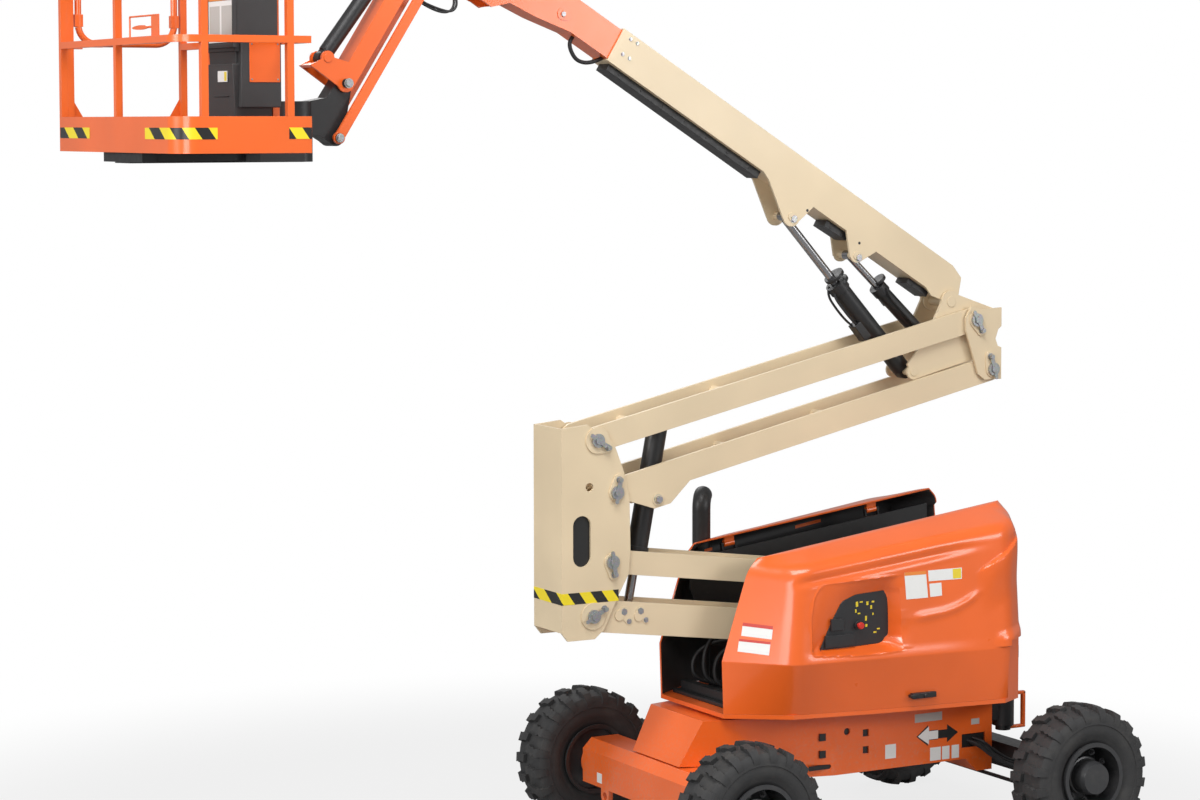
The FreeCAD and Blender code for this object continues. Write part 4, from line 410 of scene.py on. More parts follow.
# how every piece is finished: the rounded edges' steps and angle, and the steps round hoses and straps
making = {
    "edgeSteps": 2, "edgeAngle": 40, "rodSides": 24, "turnedSides": 72, "strapSides": 36, "washerSides": 28,
    "hoseSteps": 10, "hoseSides": 4, "hoseOrder": 3, "filmLift": 0.0012, "filmSteps": 6, "sameSpot": 1e-5,
}
standUp = Matrix.Rotation(math.radians(90), 4, "X")  # stands an outline up, so that its y becomes z


def finish(name, mesh, body, material, smooth=None, bevel=None, replaced=()):
    # the bmesh becomes a piece that rides on a body: smooth is an angle, and bevel the width of rounded edges
    data = bpy.data.meshes.new(name)
    mesh.to_mesh(data)
    mesh.free()
    piece = bpy.data.objects.new(name, data)
    bpy.context.scene.collection.objects.link(piece)
    for entry in material if isinstance(material, tuple) else (material,):
        data.materials.append(finishes[entry])
    if bevel:
        rounding = piece.modifiers.new("rounded edges", "BEVEL")
        rounding.width = bevel
        rounding.segments = making["edgeSteps"]
        rounding.limit_method = "ANGLE"
        rounding.angle_limit = math.radians(making["edgeAngle"])
    if smooth:
        data.shade_smooth()
        data.set_sharp_from_angle(angle=math.radians(smooth))
    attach(piece, body)
    if replaced:
        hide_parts(*replaced)
    return piece


def box(mesh, low, high, turn=None):
    # a block between two corners, and turn is a matrix applied after it is placed
    low, high = Vector(low), Vector(high)
    made = bmesh.ops.create_cube(mesh, size=1.0)["verts"]
    bmesh.ops.scale(mesh, vec=high - low, verts=made)
    bmesh.ops.translate(mesh, vec=(low + high) / 2, verts=made)
    if turn:
        bmesh.ops.transform(mesh, matrix=turn, verts=made)
    return made


def rod(mesh, start, end, radius, endRadius=None, sides=making["rodSides"]):
    # a round bar or cone from start to end
    start, end = Vector(start), Vector(end)
    run = end - start
    last = radius if endRadius is None else endRadius
    made = bmesh.ops.create_cone(mesh, cap_ends=True, segments=sides, radius1=radius, radius2=last,
                                 depth=run.length)["verts"]
    turn = run.to_track_quat("Z", "Y").to_matrix().to_4x4()
    bmesh.ops.transform(mesh, matrix=Matrix.Translation((start + end) / 2) @ turn, verts=made)
    return made


def plate(mesh, outline, thickness, place):
    # a flat outline, drawn in x and y, pulled out along z and put in place by a matrix
    corners = [mesh.verts.new((x, y, 0)) for x, y in outline]
    face = mesh.faces.new(corners)
    pulled = bmesh.ops.extrude_face_region(mesh, geom=[face])["geom"]
    moved = [item for item in pulled if isinstance(item, bmesh.types.BMVert)]
    bmesh.ops.translate(mesh, vec=(0, 0, thickness), verts=moved)
    everything = corners + moved
    bmesh.ops.transform(mesh, matrix=place, verts=everything)
    bmesh.ops.recalc_face_normals(mesh, faces=list({face for vert in everything for face in vert.link_faces}))


def turned(profile, sides=making["turnedSides"]):
    # spins a profile of (distance along y, radius) round the y axis
    mesh = bmesh.new()
    verts = [mesh.verts.new((0, y, radius)) for y, radius in profile]
    edges = [mesh.edges.new(pair) for pair in zip(verts, verts[1:])]
    bmesh.ops.spin(mesh, geom=verts + edges, cent=(0, 0, 0), axis=(0, 1, 0), angle=math.tau,
                   steps=sides, use_merge=True, use_duplicate=False)
    bmesh.ops.remove_doubles(mesh, verts=mesh.verts, dist=making["sameSpot"])
    bmesh.ops.recalc_face_normals(mesh, faces=mesh.faces)
    return mesh


def pour(mesh, whole):
    # moves one bmesh into another
    data = bpy.data.meshes.new("part")
    mesh.to_mesh(data)
    mesh.free()
    whole.from_mesh(data)
    bpy.data.meshes.remove(data)


def joined(*meshes):
    whole = bmesh.new()
    for mesh in meshes:
        pour(mesh, whole)
    return whole


def tube(name, points, radius, body):
    # a smooth round hose along a few points
    curve = bpy.data.curves.new(name, "CURVE")
    curve.dimensions = "3D"
    curve.bevel_depth = radius
    curve.bevel_resolution = making["hoseSides"]
    curve.resolution_u = making["hoseSteps"]
    curve.use_fill_caps = True
    spline = curve.splines.new("NURBS")
    spline.points.add(len(points) - 1)
    for point, where in zip(spline.points, points):
        point.co = (*where, 1)
    spline.order_u = making["hoseOrder"]
    spline.use_endpoint_u = True
    curve.materials.append(finishes["hose"])
    piece = bpy.data.objects.new(name, curve)
    bpy.context.scene.collection.objects.link(piece)
    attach(piece, body)
    return piece


def strap(mesh, first, last, firstRadius, lastRadius, face, depth, outward):
    # a flat plate round two discs, given in x and z, that stands out from a face at a distance along y
    steps = [math.tau * index / making["strapSides"] for index in range(making["strapSides"])]
    ring = [(spot[0] + math.cos(turn) * radius, spot[1] + math.sin(turn) * radius)
            for spot, radius in ((first, firstRadius), (last, lastRadius)) for turn in steps]
    outline = [ring[index] for index in convex_hull_2d(ring)]
    start = -face if outward < 0 else face + depth
    plate(mesh, outline, depth, Matrix.Translation((0, start, 0)) @ standUp)


def post(mesh, spot, low, high, radius, outward, endRadius=None, sides=making["rodSides"]):
    # a round bar that stands out sideways at a spot in x and z, between two distances along y
    x, z = spot
    return rod(mesh, (x, outward * low, z), (x, outward * high, z), radius, endRadius, sides)


def bolt(mesh, spot, radius, face, depth, outward):
    # a washer and a six-sided head at a spot in x and z, on a face at a distance along y
    washer = face + depth * 0.2
    post(mesh, spot, face, washer, radius * 1.25, outward, sides=making["washerSides"])
    post(mesh, spot, washer, face + depth, radius, outward, radius * 0.94, 6)


def skinOf(item):
    # the faces of a piece or node, to lay labels on
    corners = [item.matrix_world @ vert.co for vert in item.data.vertices]
    return BVHTree.FromPolygons(corners, [face.vertices[:] for face in item.data.polygons])


def drape(name, body, skin, columns, material, lift=making["filmLift"], rows=making["filmSteps"]):
    # a blank film on a skin: columns are pairs of points, top and bottom, with a few steps between them
    mesh = bmesh.new()
    steps = making["filmSteps"]
    columns = [(Vector(top), Vector(bottom)) for top, bottom in columns]
    lines = []
    for (top, bottom), (nextTop, nextBottom) in zip(columns, columns[1:]):
        for share in (step / steps for step in range(steps)):
            lines.append((top.lerp(nextTop, share), bottom.lerp(nextBottom, share)))
    lines.append(columns[-1])
    grid = []
    for upper, lower in lines:
        line = []
        for row in range(rows + 1):
            spot, normal, _, _ = skin.find_nearest(upper.lerp(lower, row / rows))
            line.append(mesh.verts.new(spot + normal * lift))
        grid.append(line)
    for left, right in zip(grid, grid[1:]):
        for first, second, third, fourth in zip(left, left[1:], right[1:], right):
            mesh.faces.new((first, second, third, fourth))
    return finish(name, mesh, body, material, smooth=making["edgeAngle"])


# wheels: the tread's lugs, the tyre's section, and the bolts and hub on the rim's outer face
wheel = {
    "lugs": 20, "lugDepth": 0.026, "lugFoot": 0.012, "lugTaper": 0.94, "lugReach": 0.159,
    "treadDrop": 0.012, "shoulder": 0.118, "shoulderDrop": 0.046, "shoulderCurve": 2.2, "footInset": 0.004,
    "edgeThinning": 0.25, "sides": 80, "hubSides": 48, "rimRadius": 0.214,
    # one lug of the near half: run round the tyre, and reach from its middle plane
    "lugOutline": [(-0.004, 0.010), (0.046, 0.006), (0.052, 0.040), (0.036, 0.062), (0.044, 0.082),
                   (0.030, 0.104), (0.040, 0.122), (0.036, 0.159), (-0.016, 0.159), (-0.022, 0.118),
                   (-0.012, 0.098), (-0.020, 0.076), (-0.006, 0.056)],
    "lugCuts": (0.035, 0.07, 0.10, 0.13, 0.148),
    # the section from the crown down the sidewall: share of the half width, and depth below the lugs' foot
    "section": [(0.0, 0.0), (0.55, 0.004), (0.84, 0.013), (0.93, 0.030), (0.965, 0.052), (0.985, 0.078),
                (0.950, 0.082), (0.968, 0.105), (0.955, 0.128), (0.905, 0.150), (0.855, 0.163),
                (0.850, 0.172)],
    # the bead: share of the half width, and height over the rim's radius
    "bead": [(0.790, 0.006), (0.74, -0.008)],
    "bolts": 9, "boltCircle": 0.150, "boltFace": 0.06,
    # a wheel bolt's washer, head and end: from and to along the axle, radius, and sides
    "boltParts": [(0, 0.004, 0.02025, 20), (0.004, 0.017, 0.0135, 6), (0.017, 0.028, 0.00675, 12)],
    # the hub's section: distance out along the axle, and radius
    "hub": [(0.050, 0.0001), (0.050, 0.118), (0.066, 0.118), (0.070, 0.108), (0.108, 0.100), (0.120, 0.088),
            (0.120, 0.034), (0.126, 0.030), (0.126, 0.0001)],
}


def lug(mesh, radius, half, turn, side):
    # drawn flat, cut into strips, pulled up and then wrapped on the tyre's crown and shoulder
    sheet = bmesh.new()
    sheet.faces.new([sheet.verts.new((run, reach, 0)) for run, reach in wheel["lugOutline"]])
    for cut in wheel["lugCuts"]:
        everything = sheet.verts[:] + sheet.edges[:] + sheet.faces[:]
        bmesh.ops.bisect_plane(sheet, geom=everything, plane_co=(0, cut, 0), plane_no=(0, 1, 0))
    pulled = bmesh.ops.extrude_face_region(sheet, geom=sheet.faces[:])["geom"]
    for vert in [item for item in pulled if isinstance(item, bmesh.types.BMVert)]:
        vert.co.x *= wheel["lugTaper"]
        vert.co.z = wheel["lugDepth"] + wheel["lugFoot"]
    foot = radius - wheel["lugDepth"] - wheel["lugFoot"]
    for vert in sheet.verts:
        run, reach, rise = vert.co
        edge = max(0.0, reach - wheel["shoulder"]) / (wheel["lugReach"] - wheel["shoulder"])
        drop = wheel["treadDrop"] * (reach / half) ** 2
        drop += wheel["shoulderDrop"] * edge ** wheel["shoulderCurve"]
        inset = 0.0 if rise > 0 else wheel["footInset"] * edge
        away = foot - drop + rise * (1 - wheel["edgeThinning"] * edge)
        angle = turn + run / radius
        y = reach * (half / wheel["lugReach"]) - inset
        vert.co = (math.sin(angle) * away, y * side, math.cos(angle) * away)
    bmesh.ops.recalc_face_normals(sheet, faces=sheet.faces)
    pour(sheet, mesh)


def tyre(name, body, node):
    low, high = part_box(node)
    middle = (low + high) / 2
    radius = (high.z - low.z) / 2
    half = (high.y - low.y) / 2
    base = radius - wheel["lugDepth"]
    side = [(share * half, base - depth) for share, depth in wheel["section"]]
    side += [(share * half, wheel["rimRadius"] + rise) for share, rise in wheel["bead"]]
    profile = [(-reach, height) for reach, height in reversed(side[1:])] + side
    carcass = turned(profile + [profile[0]], wheel["sides"])
    tread = bmesh.new()
    step = math.tau / wheel["lugs"]
    for index in range(wheel["lugs"]):
        lug(tread, radius, half, index * step, 1)
        lug(tread, radius, half, (index + 0.5) * step, -1)
    whole = joined(carcass, tread)
    bmesh.ops.translate(whole, vec=middle, verts=whole.verts)
    finish(name, whole, body, "tyre", smooth=32, replaced=[node])
    return middle


def hub(name, body, middle, outward):
    # the bolt ring and the drive hub on the outer face, and outward is -1 on the near side
    ring = bmesh.new()
    face = wheel["boltFace"]
    for index in range(wheel["bolts"]):
        angle = math.tau * (index + 0.5) / wheel["bolts"]
        spot = (math.sin(angle) * wheel["boltCircle"], math.cos(angle) * wheel["boltCircle"])
        for low, high, radius, sides in wheel["boltParts"]:
            post(ring, spot, face + low, face + high, radius, 1, sides=sides)
    whole = joined(ring, turned(wheel["hub"], wheel["hubSides"]))
    bmesh.ops.scale(whole, vec=(1, outward, 1), verts=whole.verts)
    if outward < 0:
        bmesh.ops.reverse_faces(whole, faces=whole.faces)
    bmesh.ops.translate(whole, vec=middle, verts=whole.verts)
    finish(name, whole, body, "rim_grey", smooth=35)


for end in ("rear", "front"):
    for side, outward in (("near", -1), ("far", 1)):
        body = f"{end}_{side}_wheel"
        middle = tyre(f"{end}{side.title()}Tyre", body, f"tyre_{end}_{side}")
        hub(f"{end}{side.title()}Hub", body, middle, outward)
print("wheels made")


# hoods: moulded skins lofted through the levels of their plan, as (x, distance from the centre plane)
hood = {
    "shift": 1.4935, "inside": (0.0, 0.40, 1.40), "slot": 0.370, "floor": 0.9056, "crease": 1.222,
    "roof": 1.925, "shoulderDrop": 0.066, "slope": 7.6, "skin": 0.010, "notchX": 0.794, "notchTop": 1.268,
    "low": [(-0.985, 0.370), (-0.640, 0.606), (-0.090, 0.700), (0.770, 0.800), (0.936, 0.7053),
            (1.0534, 0.5138), (1.1121, 0.370)],
    "mid": [(-0.996, 0.370), (-0.692, 0.706), (-0.040, 0.762), (0.790, 0.826), (0.944, 0.7113),
            (1.0624, 0.5182), (1.1226, 0.370)],
    "top": [(-0.826, 0.370), (-0.600, 0.626), (-0.040, 0.690), (0.800, 0.752), (0.9168, 0.6909),
            (1.0318, 0.5033), (1.0868, 0.370)],
    "crown": [(-0.756, 0.370), (-0.530, 0.410), (-0.040, 0.410), (0.740, 0.410), (0.8568, 0.410),
              (0.9718, 0.410), (1.0268, 0.370)],
    # how far the plan's corners and the skin's creases are rounded, and the steps on each leg
    "corners": [0.085, 0.16, 0.055, 0.05, 0.05], "creases": [0.004, 0.075, 0.02],
    "fineColumns": [14, 88, 70, 8, 6, 5], "fineRows": [12, 84, 12, 3],
    "plainColumns": [10, 26, 30, 8, 6, 5], "plainRows": [8, 36, 10, 3], "cornerSteps": 8, "creaseSteps": 7,
}
# the ground controls' recess, as (x, z) in the machine's own axes: its black face and its outer lip
recess = {
    "face": [(-0.487, 1.288), (-0.402, 1.454), (-0.331, 1.568), (-0.231, 1.604), (-0.007, 1.615),
             (0.001, 1.480), (0.006, 1.347), (-0.050, 1.297), (-0.287, 1.290)],
    "lip": [(-0.572, 1.272), (-0.562, 1.480), (-0.530, 1.610), (-0.470, 1.682), (-0.284, 1.690),
            (0.016, 1.706), (0.030, 1.532), (0.046, 1.385), (0.040, 1.262), (-0.250, 1.252)],
    "faceCorner": 0.024, "lipCorner": 0.032, "depthY": 0.646, "lipHeight": 0.004, "lipWidth": 0.007,
    "lipOuter": 0.006, "wallCurve": 1.15,
    "reachX": (-0.60, 0.09), "reachZ": (1.24, 1.72),
}
# the forms pressed into a hood's side: a valley under the shoulder, a climbing line, a ridge and a flare
# (From, End and Above are the stretches of x or z over which a form begins or ends)
pressed = {
    "sideFrom": (-0.66, -0.56), "sideAbove": (1.226, 1.30),
    "valleyFall": 0.085, "valleyWidth": 0.030, "valleyDepth": 0.017, "valleyEnd": (0.25, 0.74),
    "stepFall": 0.16, "stepDepth": 0.007, "stepEnd": (0.3, 0.7),
    "lineHeight": 0.026, "lineStart": (0.582, 1.690), "lineSlope": 0.535, "lineFrom": (0.56, 0.72),
    "lineEdge": (-0.004, 0.006), "lineFoot": (-0.30, -0.01), "lineAbove": (1.30, 1.42),
    "ridgeHeight": 0.009, "ridgeWidth": 0.026, "ridgeStart": (0.078, 1.440), "ridgeSlope": 0.10,
    "ridgeCurve": 0.95, "ridgeBend": 0.30, "ridgeFrom": (0.08, 0.2), "ridgeEnd": (0.5, 0.64),
    "flareHeight": 0.018, "flareFrom": (0.66, 0.78), "flareSlope": 0.1, "flareAbove": (1.224, 1.236),
    "flareTop": (1.262, 1.33),
}


def bend(path, cuts, straight, curved):
    # rounds the corners of a path: straight holds the number of steps on each leg
    spots = [path[0]]
    for index in range(1, len(path)):
        last = index == len(path) - 1
        end = path[index]
        stop = end
        if not last:
            leg = (end - spots[-1]).length
            ahead = path[index + 1] - end
            cut = min(cuts[index - 1], leg * 0.45, ahead.length * 0.45)
            stop = end - (end - path[index - 1]).normalized() * cut
        start = spots[-1]
        for step in range(1, straight[index - 1] + 1):
            spots.append(start.lerp(stop, step / straight[index - 1]))
        if not last:
            after = end + ahead.normalized() * cut
            for step in range(1, curved + 1):
                share = step / curved
                spots.append(stop.lerp(end, share).lerp(end.lerp(after, share), share))
    return spots


def distanceTo(outline, x, z):
    # how far a point is outside a closed outline, less than 0 inside it
    nearest, inside = math.inf, False
    for (ax, az), (bx, bz) in zip(outline, outline[1:] + outline[:1]):
        dx, dz = bx - ax, bz - az
        share = max(0.0, min(1.0, ((x - ax) * dx + (z - az) * dz) / (dx * dx + dz * dz)))
        nearest = min(nearest, math.hypot(x - ax - dx * share, z - az - dz * share))
        if (az > z) != (bz > z) and x < ax + (z - az) * dx / dz:
            inside = not inside
    return -nearest if inside else nearest


def rounded(outline, cut, curved=5):
    # the same closed outline with its corners rounded
    corners = [Vector((x, z, 0)) for x, z in outline]
    spots = []
    for index, corner in enumerate(corners):
        before, after = corners[index - 1], corners[(index + 1) % len(corners)]
        reach = min(cut, (corner - before).length * 0.5, (after - corner).length * 0.5)
        first = corner + (before - corner).normalized() * reach
        last = corner + (after - corner).normalized() * reach
        for step in range(curved + 1):
            share = step / curved
            spot = first.lerp(corner, share).lerp(corner.lerp(last, share), share)
            if not spots or math.dist(spots[-1], (spot.x, spot.y)) > 1e-4:
                spots.append((spot.x, spot.y))
    if math.dist(spots[-1], spots[0]) < 1e-4:
        spots.pop()
    return spots


recess["face"] = rounded(recess["face"], recess["faceCorner"])
recess["lip"] = rounded(recess["lip"], recess["lipCorner"])


def ease(value, low, high):
    # a smooth step from 0 at low to 1 at high
    share = max(0.0, min(1.0, (value - low) / (high - low)))
    return share * share * (3 - 2 * share)


def bump(distance, width):
    return math.exp(-(distance / width) ** 2)


def pressedOut(x, y, z):
    # y, which counts away from the centre plane, with the soft forms pressed into it
    side = ease(x, *pressed["sideFrom"]) * ease(z, *pressed["sideAbove"])
    shoulder = hood["roof"] - hood["shoulderDrop"] + x * math.tan(math.radians(hood["slope"]))
    fall = shoulder - z
    valley = bump(fall - pressed["valleyFall"], pressed["valleyWidth"]) * (1 - ease(x, *pressed["valleyEnd"]))
    step = ease(fall, pressed["valleyFall"], pressed["stepFall"]) * (1 - ease(x, *pressed["stepEnd"]))
    y -= side * (pressed["valleyDepth"] * valley + pressed["stepDepth"] * step)
    # a sharp line that climbs to the tail's upper corner
    startX, startZ = pressed["lineStart"]
    climb = z - (startZ + (x - startX) * pressed["lineSlope"])
    edge = (1 - ease(climb, *pressed["lineEdge"])) * ease(climb, *pressed["lineFoot"])
    y += ease(x, *pressed["lineFrom"]) * pressed["lineHeight"] * edge * ease(z, *pressed["lineAbove"])
    # a soft ridge that climbs from the recess to that line
    startX, startZ = pressed["ridgeStart"]
    curve = max(0.0, x - pressed["ridgeBend"]) ** 2 * pressed["ridgeCurve"]
    ridge = z - (startZ + (x - startX) * pressed["ridgeSlope"] + curve)
    along = ease(x, *pressed["ridgeFrom"]) * (1 - ease(x, *pressed["ridgeEnd"]))
    y += pressed["ridgeHeight"] * bump(ridge, pressed["ridgeWidth"]) * along
    # the flare over the counterweight's corner
    rise = (x - pressed["flareFrom"][0]) * pressed["flareSlope"]
    upTo = ease(z, *pressed["flareAbove"]) * (1 - ease(z - rise, *pressed["flareTop"]))
    return y + pressed["flareHeight"] * ease(x, *pressed["flareFrom"]) * upTo


def recessed(x, y, z):
    # y, drawn in to the ground controls' face inside the recess's lip
    (lowX, highX), (lowZ, highZ) = recess["reachX"], recess["reachZ"]
    if not (lowX < x < highX and lowZ < z < highZ):
        return y
    outside = distanceTo(recess["lip"], x, z)
    if outside >= recess["lipOuter"]:
        return y
    inside = distanceTo(recess["face"], x, z)
    if inside <= 0:
        return recess["depthY"]
    share = inside / (inside + max(0.0, -outside))
    lip = bump(outside, recess["lipWidth"]) * recess["lipHeight"]
    return recess["depthY"] + (y - recess["depthY"]) * share ** recess["wallCurve"] + lip


def loftedSkin(columns, rows, pocket):
    # a grid of rows from the floor up over the shoulder, and columns from the front round to the tail
    lean = math.radians(hood["slope"])
    shoulder = hood["roof"] - hood["shoulderDrop"]
    levels = []
    for name, height, turn in (("low", hood["floor"], 0), ("mid", hood["crease"], 0),
                               ("top", shoulder, lean), ("crown", hood["roof"], lean)):
        plan = [Vector((x * math.cos(turn), y, height + x * math.sin(turn))) for x, y in hood[name]]
        levels.append(bend(plan, hood["corners"], columns, hood["cornerSteps"]))
    levels.append([Vector((spot.x, hood["slot"], spot.z)) for spot in levels[-1]])
    mesh = bmesh.new()
    grid = []
    for column in zip(*levels):
        line = []
        for x, y, z in bend(list(column), hood["creases"], rows, hood["creaseSteps"]):
            y = pressedOut(x, y, z)
            line.append(mesh.verts.new((x, recessed(x, y, z) if pocket else y, z)))
        grid.append(line)
    for left, right in zip(grid, grid[1:]):
        for first, second, third, fourth in zip(left, right, right[1:], left[1:]):
            mesh.faces.new((first, second, third, fourth))
    bmesh.ops.remove_doubles(mesh, verts=mesh.verts, dist=making["sameSpot"])
    return mesh


def hoodSkin(sign, pocket):
    if pocket:
        mesh = loftedSkin(hood["fineColumns"], hood["fineRows"], pocket)
    else:
        mesh = loftedSkin(hood["plainColumns"], hood["plainRows"], pocket)
    # the notch over the counterweight
    for place, normal in (((hood["notchX"], 0, 0), (1, 0, 0)), ((0, 0, hood["notchTop"]), (0, 0, 1))):
        everything = mesh.verts[:] + mesh.edges[:] + mesh.faces[:]
        bmesh.ops.bisect_plane(mesh, geom=everything, plane_co=place, plane_no=normal)
    middles = [(face, face.calc_center_median()) for face in mesh.faces]
    cut = [face for face, spot in middles if spot.x > hood["notchX"] and spot.z < hood["notchTop"]]
    bmesh.ops.delete(mesh, geom=cut, context="FACES")
    bmesh.ops.recalc_face_normals(mesh, faces=mesh.faces)
    highest = max(mesh.faces, key=lambda face: face.calc_center_median().z)
    if highest.normal.z < 0:
        bmesh.ops.reverse_faces(mesh, faces=mesh.faces)
    bmesh.ops.solidify(mesh, geom=mesh.faces[:], thickness=hood["skin"])
    # the inner faces take the second, black material
    inside = Vector(hood["inside"])
    for face in mesh.faces:
        inward = (inside - face.calc_center_median()).normalized()
        face.material_index = 1 if face.normal.dot(inward) > 0.3 else 0
    bmesh.ops.translate(mesh, vec=(hood["shift"], 0, 0), verts=mesh.verts)
    bmesh.ops.scale(mesh, vec=(1, sign, 1), verts=mesh.verts)
    if sign < 0:
        bmesh.ops.reverse_faces(mesh, faces=mesh.faces)
    return mesh


hinge = {"places": (-0.475, 0.590), "half": 0.035, "side": 0.410, "height": 1.8655, "radius": 0.020,
         "strapHalf": 0.010, "strapLow": 0.008, "strapHigh": 0.050}


def hoodHinges(sign):
    # the eyes and straps that carry a hood on the inner wall's pins
    mesh = bmesh.new()
    rise = math.tan(math.radians(hood["slope"]))
    side = sign * hinge["side"]
    for place in hinge["places"]:
        start, end = (Vector((hood["shift"] + x, side, hinge["height"] + x * rise))
                      for x in (place - hinge["half"], place + hinge["half"]))
        rod(mesh, start, end, hinge["radius"])
        box(mesh, (start.x, side - hinge["strapHalf"], start.z + hinge["strapLow"]),
            (end.x, side + hinge["strapHalf"], start.z + hinge["strapHigh"]))
    return mesh


for side, sign in (("near", -1), ("far", 1)):
    skin = joined(hoodSkin(sign, side == "near"), hoodHinges(sign))
    finish(f"{side}Hood", skin, f"{side}_hood", ("orange_paint", "console"), smooth=38,
           replaced=[f"hood_{side}"])

# the black face of the ground controls, with its modules, stop button and blank yellow marks
controls = {
    "back": -0.640, "depth": 0.012, "face": -0.651, "button": (1.2765, 1.420),
    # the button's parts: from and to along y, away from the centre plane, and radius
    "collar": (0.651, 0.664, 0.026), "stem": (0.663, 0.690, 0.014), "head": (0.684, 0.697, 0.022),
    "headTop": 0.019,
    # from and to in x, the front in y, and from and to in z
    "modules": [(1.080, 1.170, -0.668, 1.400, 1.470), (1.040, 1.250, -0.664, 1.300, 1.372)],
    # the marks' middles in x and z, their widths and their heights
    "marks": [(1.27, 1.545, 0.016, 0.03), (1.30, 1.556, 0.022, 0.008), (1.262, 1.505, 0.010, 0.020),
              (1.285, 1.488, 0.018, 0.008), (1.345, 1.545, 0.014, 0.022), (1.385, 1.552, 0.018, 0.010),
              (1.372, 1.520, 0.012, 0.022), (1.335, 1.455, 0.012, 0.028), (1.338, 1.412, 0.014, 0.016),
              (1.425, 1.385, 0.020, 0.008), (1.400, 1.366, 0.020, 0.010), (1.385, 1.478, 0.008, 0.014)],
    "markBack": -0.6515, "markFront": -0.6535,
}
face = bmesh.new()
place = Matrix.Translation((hood["shift"], controls["back"], 0)) @ standUp
plate(face, recess["face"], controls["depth"], place)
for left, right, front, foot, top in controls["modules"]:
    box(face, (left, front, foot), (right, controls["face"], top))
post(face, controls["button"], *controls["collar"], -1)
finish("groundControls", face, "near_hood", "panel", smooth=40, bevel=0.002,
       replaced=["control_panel"])
button = bmesh.new()
post(button, controls["button"], *controls["stem"], -1)
post(button, controls["button"], *controls["head"], -1, controls["headTop"])
finish("stopButton", button, "near_hood", "red", smooth=40, bevel=0.002)
marks = bmesh.new()
for x, z, width, height in controls["marks"]:
    box(marks, (x - width / 2, controls["markFront"], z - height / 2),
        (x + width / 2, controls["markBack"], z + height / 2))
finish("controlMarks", marks, "near_hood", "yellow")
print("hoods made")


# tower: pin plates, keepers, the warning band, and black sheets in the slot as painted shade
tower = {
    "plateFace": 0.174, "armFace": 0.150, "plateDepth": 0.008, "armDepth": 0.003,
    "headRadius": 0.0405, "headTop": 0.197, "headSides": 32, "nutRadius": 0.024, "nutHeight": 0.010,
    "keeperRadius": 0.016, "keeperHeight": 0.030,
    "tabLength": 0.055, "tabRadius": (0.014, 0.012), "tabDepth": 0.005,
    # body, pin, its keeper's bolt, and the plate's radius at each of them
    "pins": [
        ("upright", (-0.2367, 2.5637), (-0.1703, 2.5187), 0.078, 0.030),
        ("upright", (-0.1077, 2.2496), (-0.0934, 2.3256), 0.052, 0.034),
        ("upright", (-0.1387, 1.8406), (-0.1282, 1.7662), 0.052, 0.034),
        ("upright", (-0.2667, 1.5286), (-0.1955, 1.5691), 0.080, 0.030),
        ("end_link", (2.4801, 3.1809), (2.5178, 3.1134), 0.052, 0.034),
        ("end_link", (2.6091, 2.8669), (2.5871, 2.9472), 0.052, 0.034),
    ],
    # the same for the arms' pins, and the height of the pin's bolt
    "armPins": [
        ("base_arm", (-0.0450, 1.5340), (-0.0111, 1.4742), 0.034, 0.022, 0.0065),
        ("base_arm", (0.0670, 1.5300), (0.1038, 1.4738), 0.034, 0.022, 0.0065),
        ("mid_arm", (0.1892, 2.1889), (0.1892, 2.1889), 0.040, 0.040, 0.022),
    ],
    "armBolt": 0.023, "armKeeper": 0.013, "armKeeperHeight": 0.004,
    "bandLow": 1.6075, "bandHigh": 1.6751, "bandFront": -0.4747, "bandEnd": -0.095, "bandDepth": 0.001,
    "slotX": (-0.425, -0.255), "slotZ": (1.80, 2.15), "slotInner": 0.1545, "slotOuter": 0.1575,
}
plates = {name: bmesh.new() for name in ("upright", "end_link", "base_arm", "mid_arm")}
bolts = {name: bmesh.new() for name in plates}
for outward in (-1, 1):
    face, depth, top = tower["plateFace"], tower["plateDepth"], tower["headTop"]
    for body, pin, keeper, pinRadius, keeperRadius in tower["pins"]:
        strap(plates[body], pin, keeper, pinRadius, keeperRadius, face, depth, outward)
        post(bolts[body], pin, face, top, tower["headRadius"], outward, sides=tower["headSides"])
        post(bolts[body], pin, top, top + tower["nutHeight"], tower["nutRadius"], outward, sides=6)
        away = (Vector(pin) - Vector(keeper)).normalized() * tower["tabLength"]
        tail = (pin[0] + away.x, pin[1] + away.y)
        strap(bolts[body], keeper, tail, *tower["tabRadius"], top, tower["tabDepth"], outward)
        bolt(bolts[body], keeper, tower["keeperRadius"], face + depth, tower["keeperHeight"], outward)
    face, depth = tower["armFace"], tower["armDepth"]
    for body, pin, keeper, pinRadius, keeperRadius, height in tower["armPins"]:
        strap(plates[body], pin, keeper, pinRadius, keeperRadius, face, depth, outward)
        bolt(bolts[body], pin, tower["armBolt"], face, height, outward)
        if keeper != pin:
            bolt(bolts[body], keeper, tower["armKeeper"], face + depth, tower["armKeeperHeight"], outward)
for body in plates:
    name = body.split("_")[0]
    finish(f"{name}PinPlates", plates[body], body, "tan_paint", smooth=40)
    finish(f"{name}Bolts", bolts[body], body, "zinc", smooth=35)

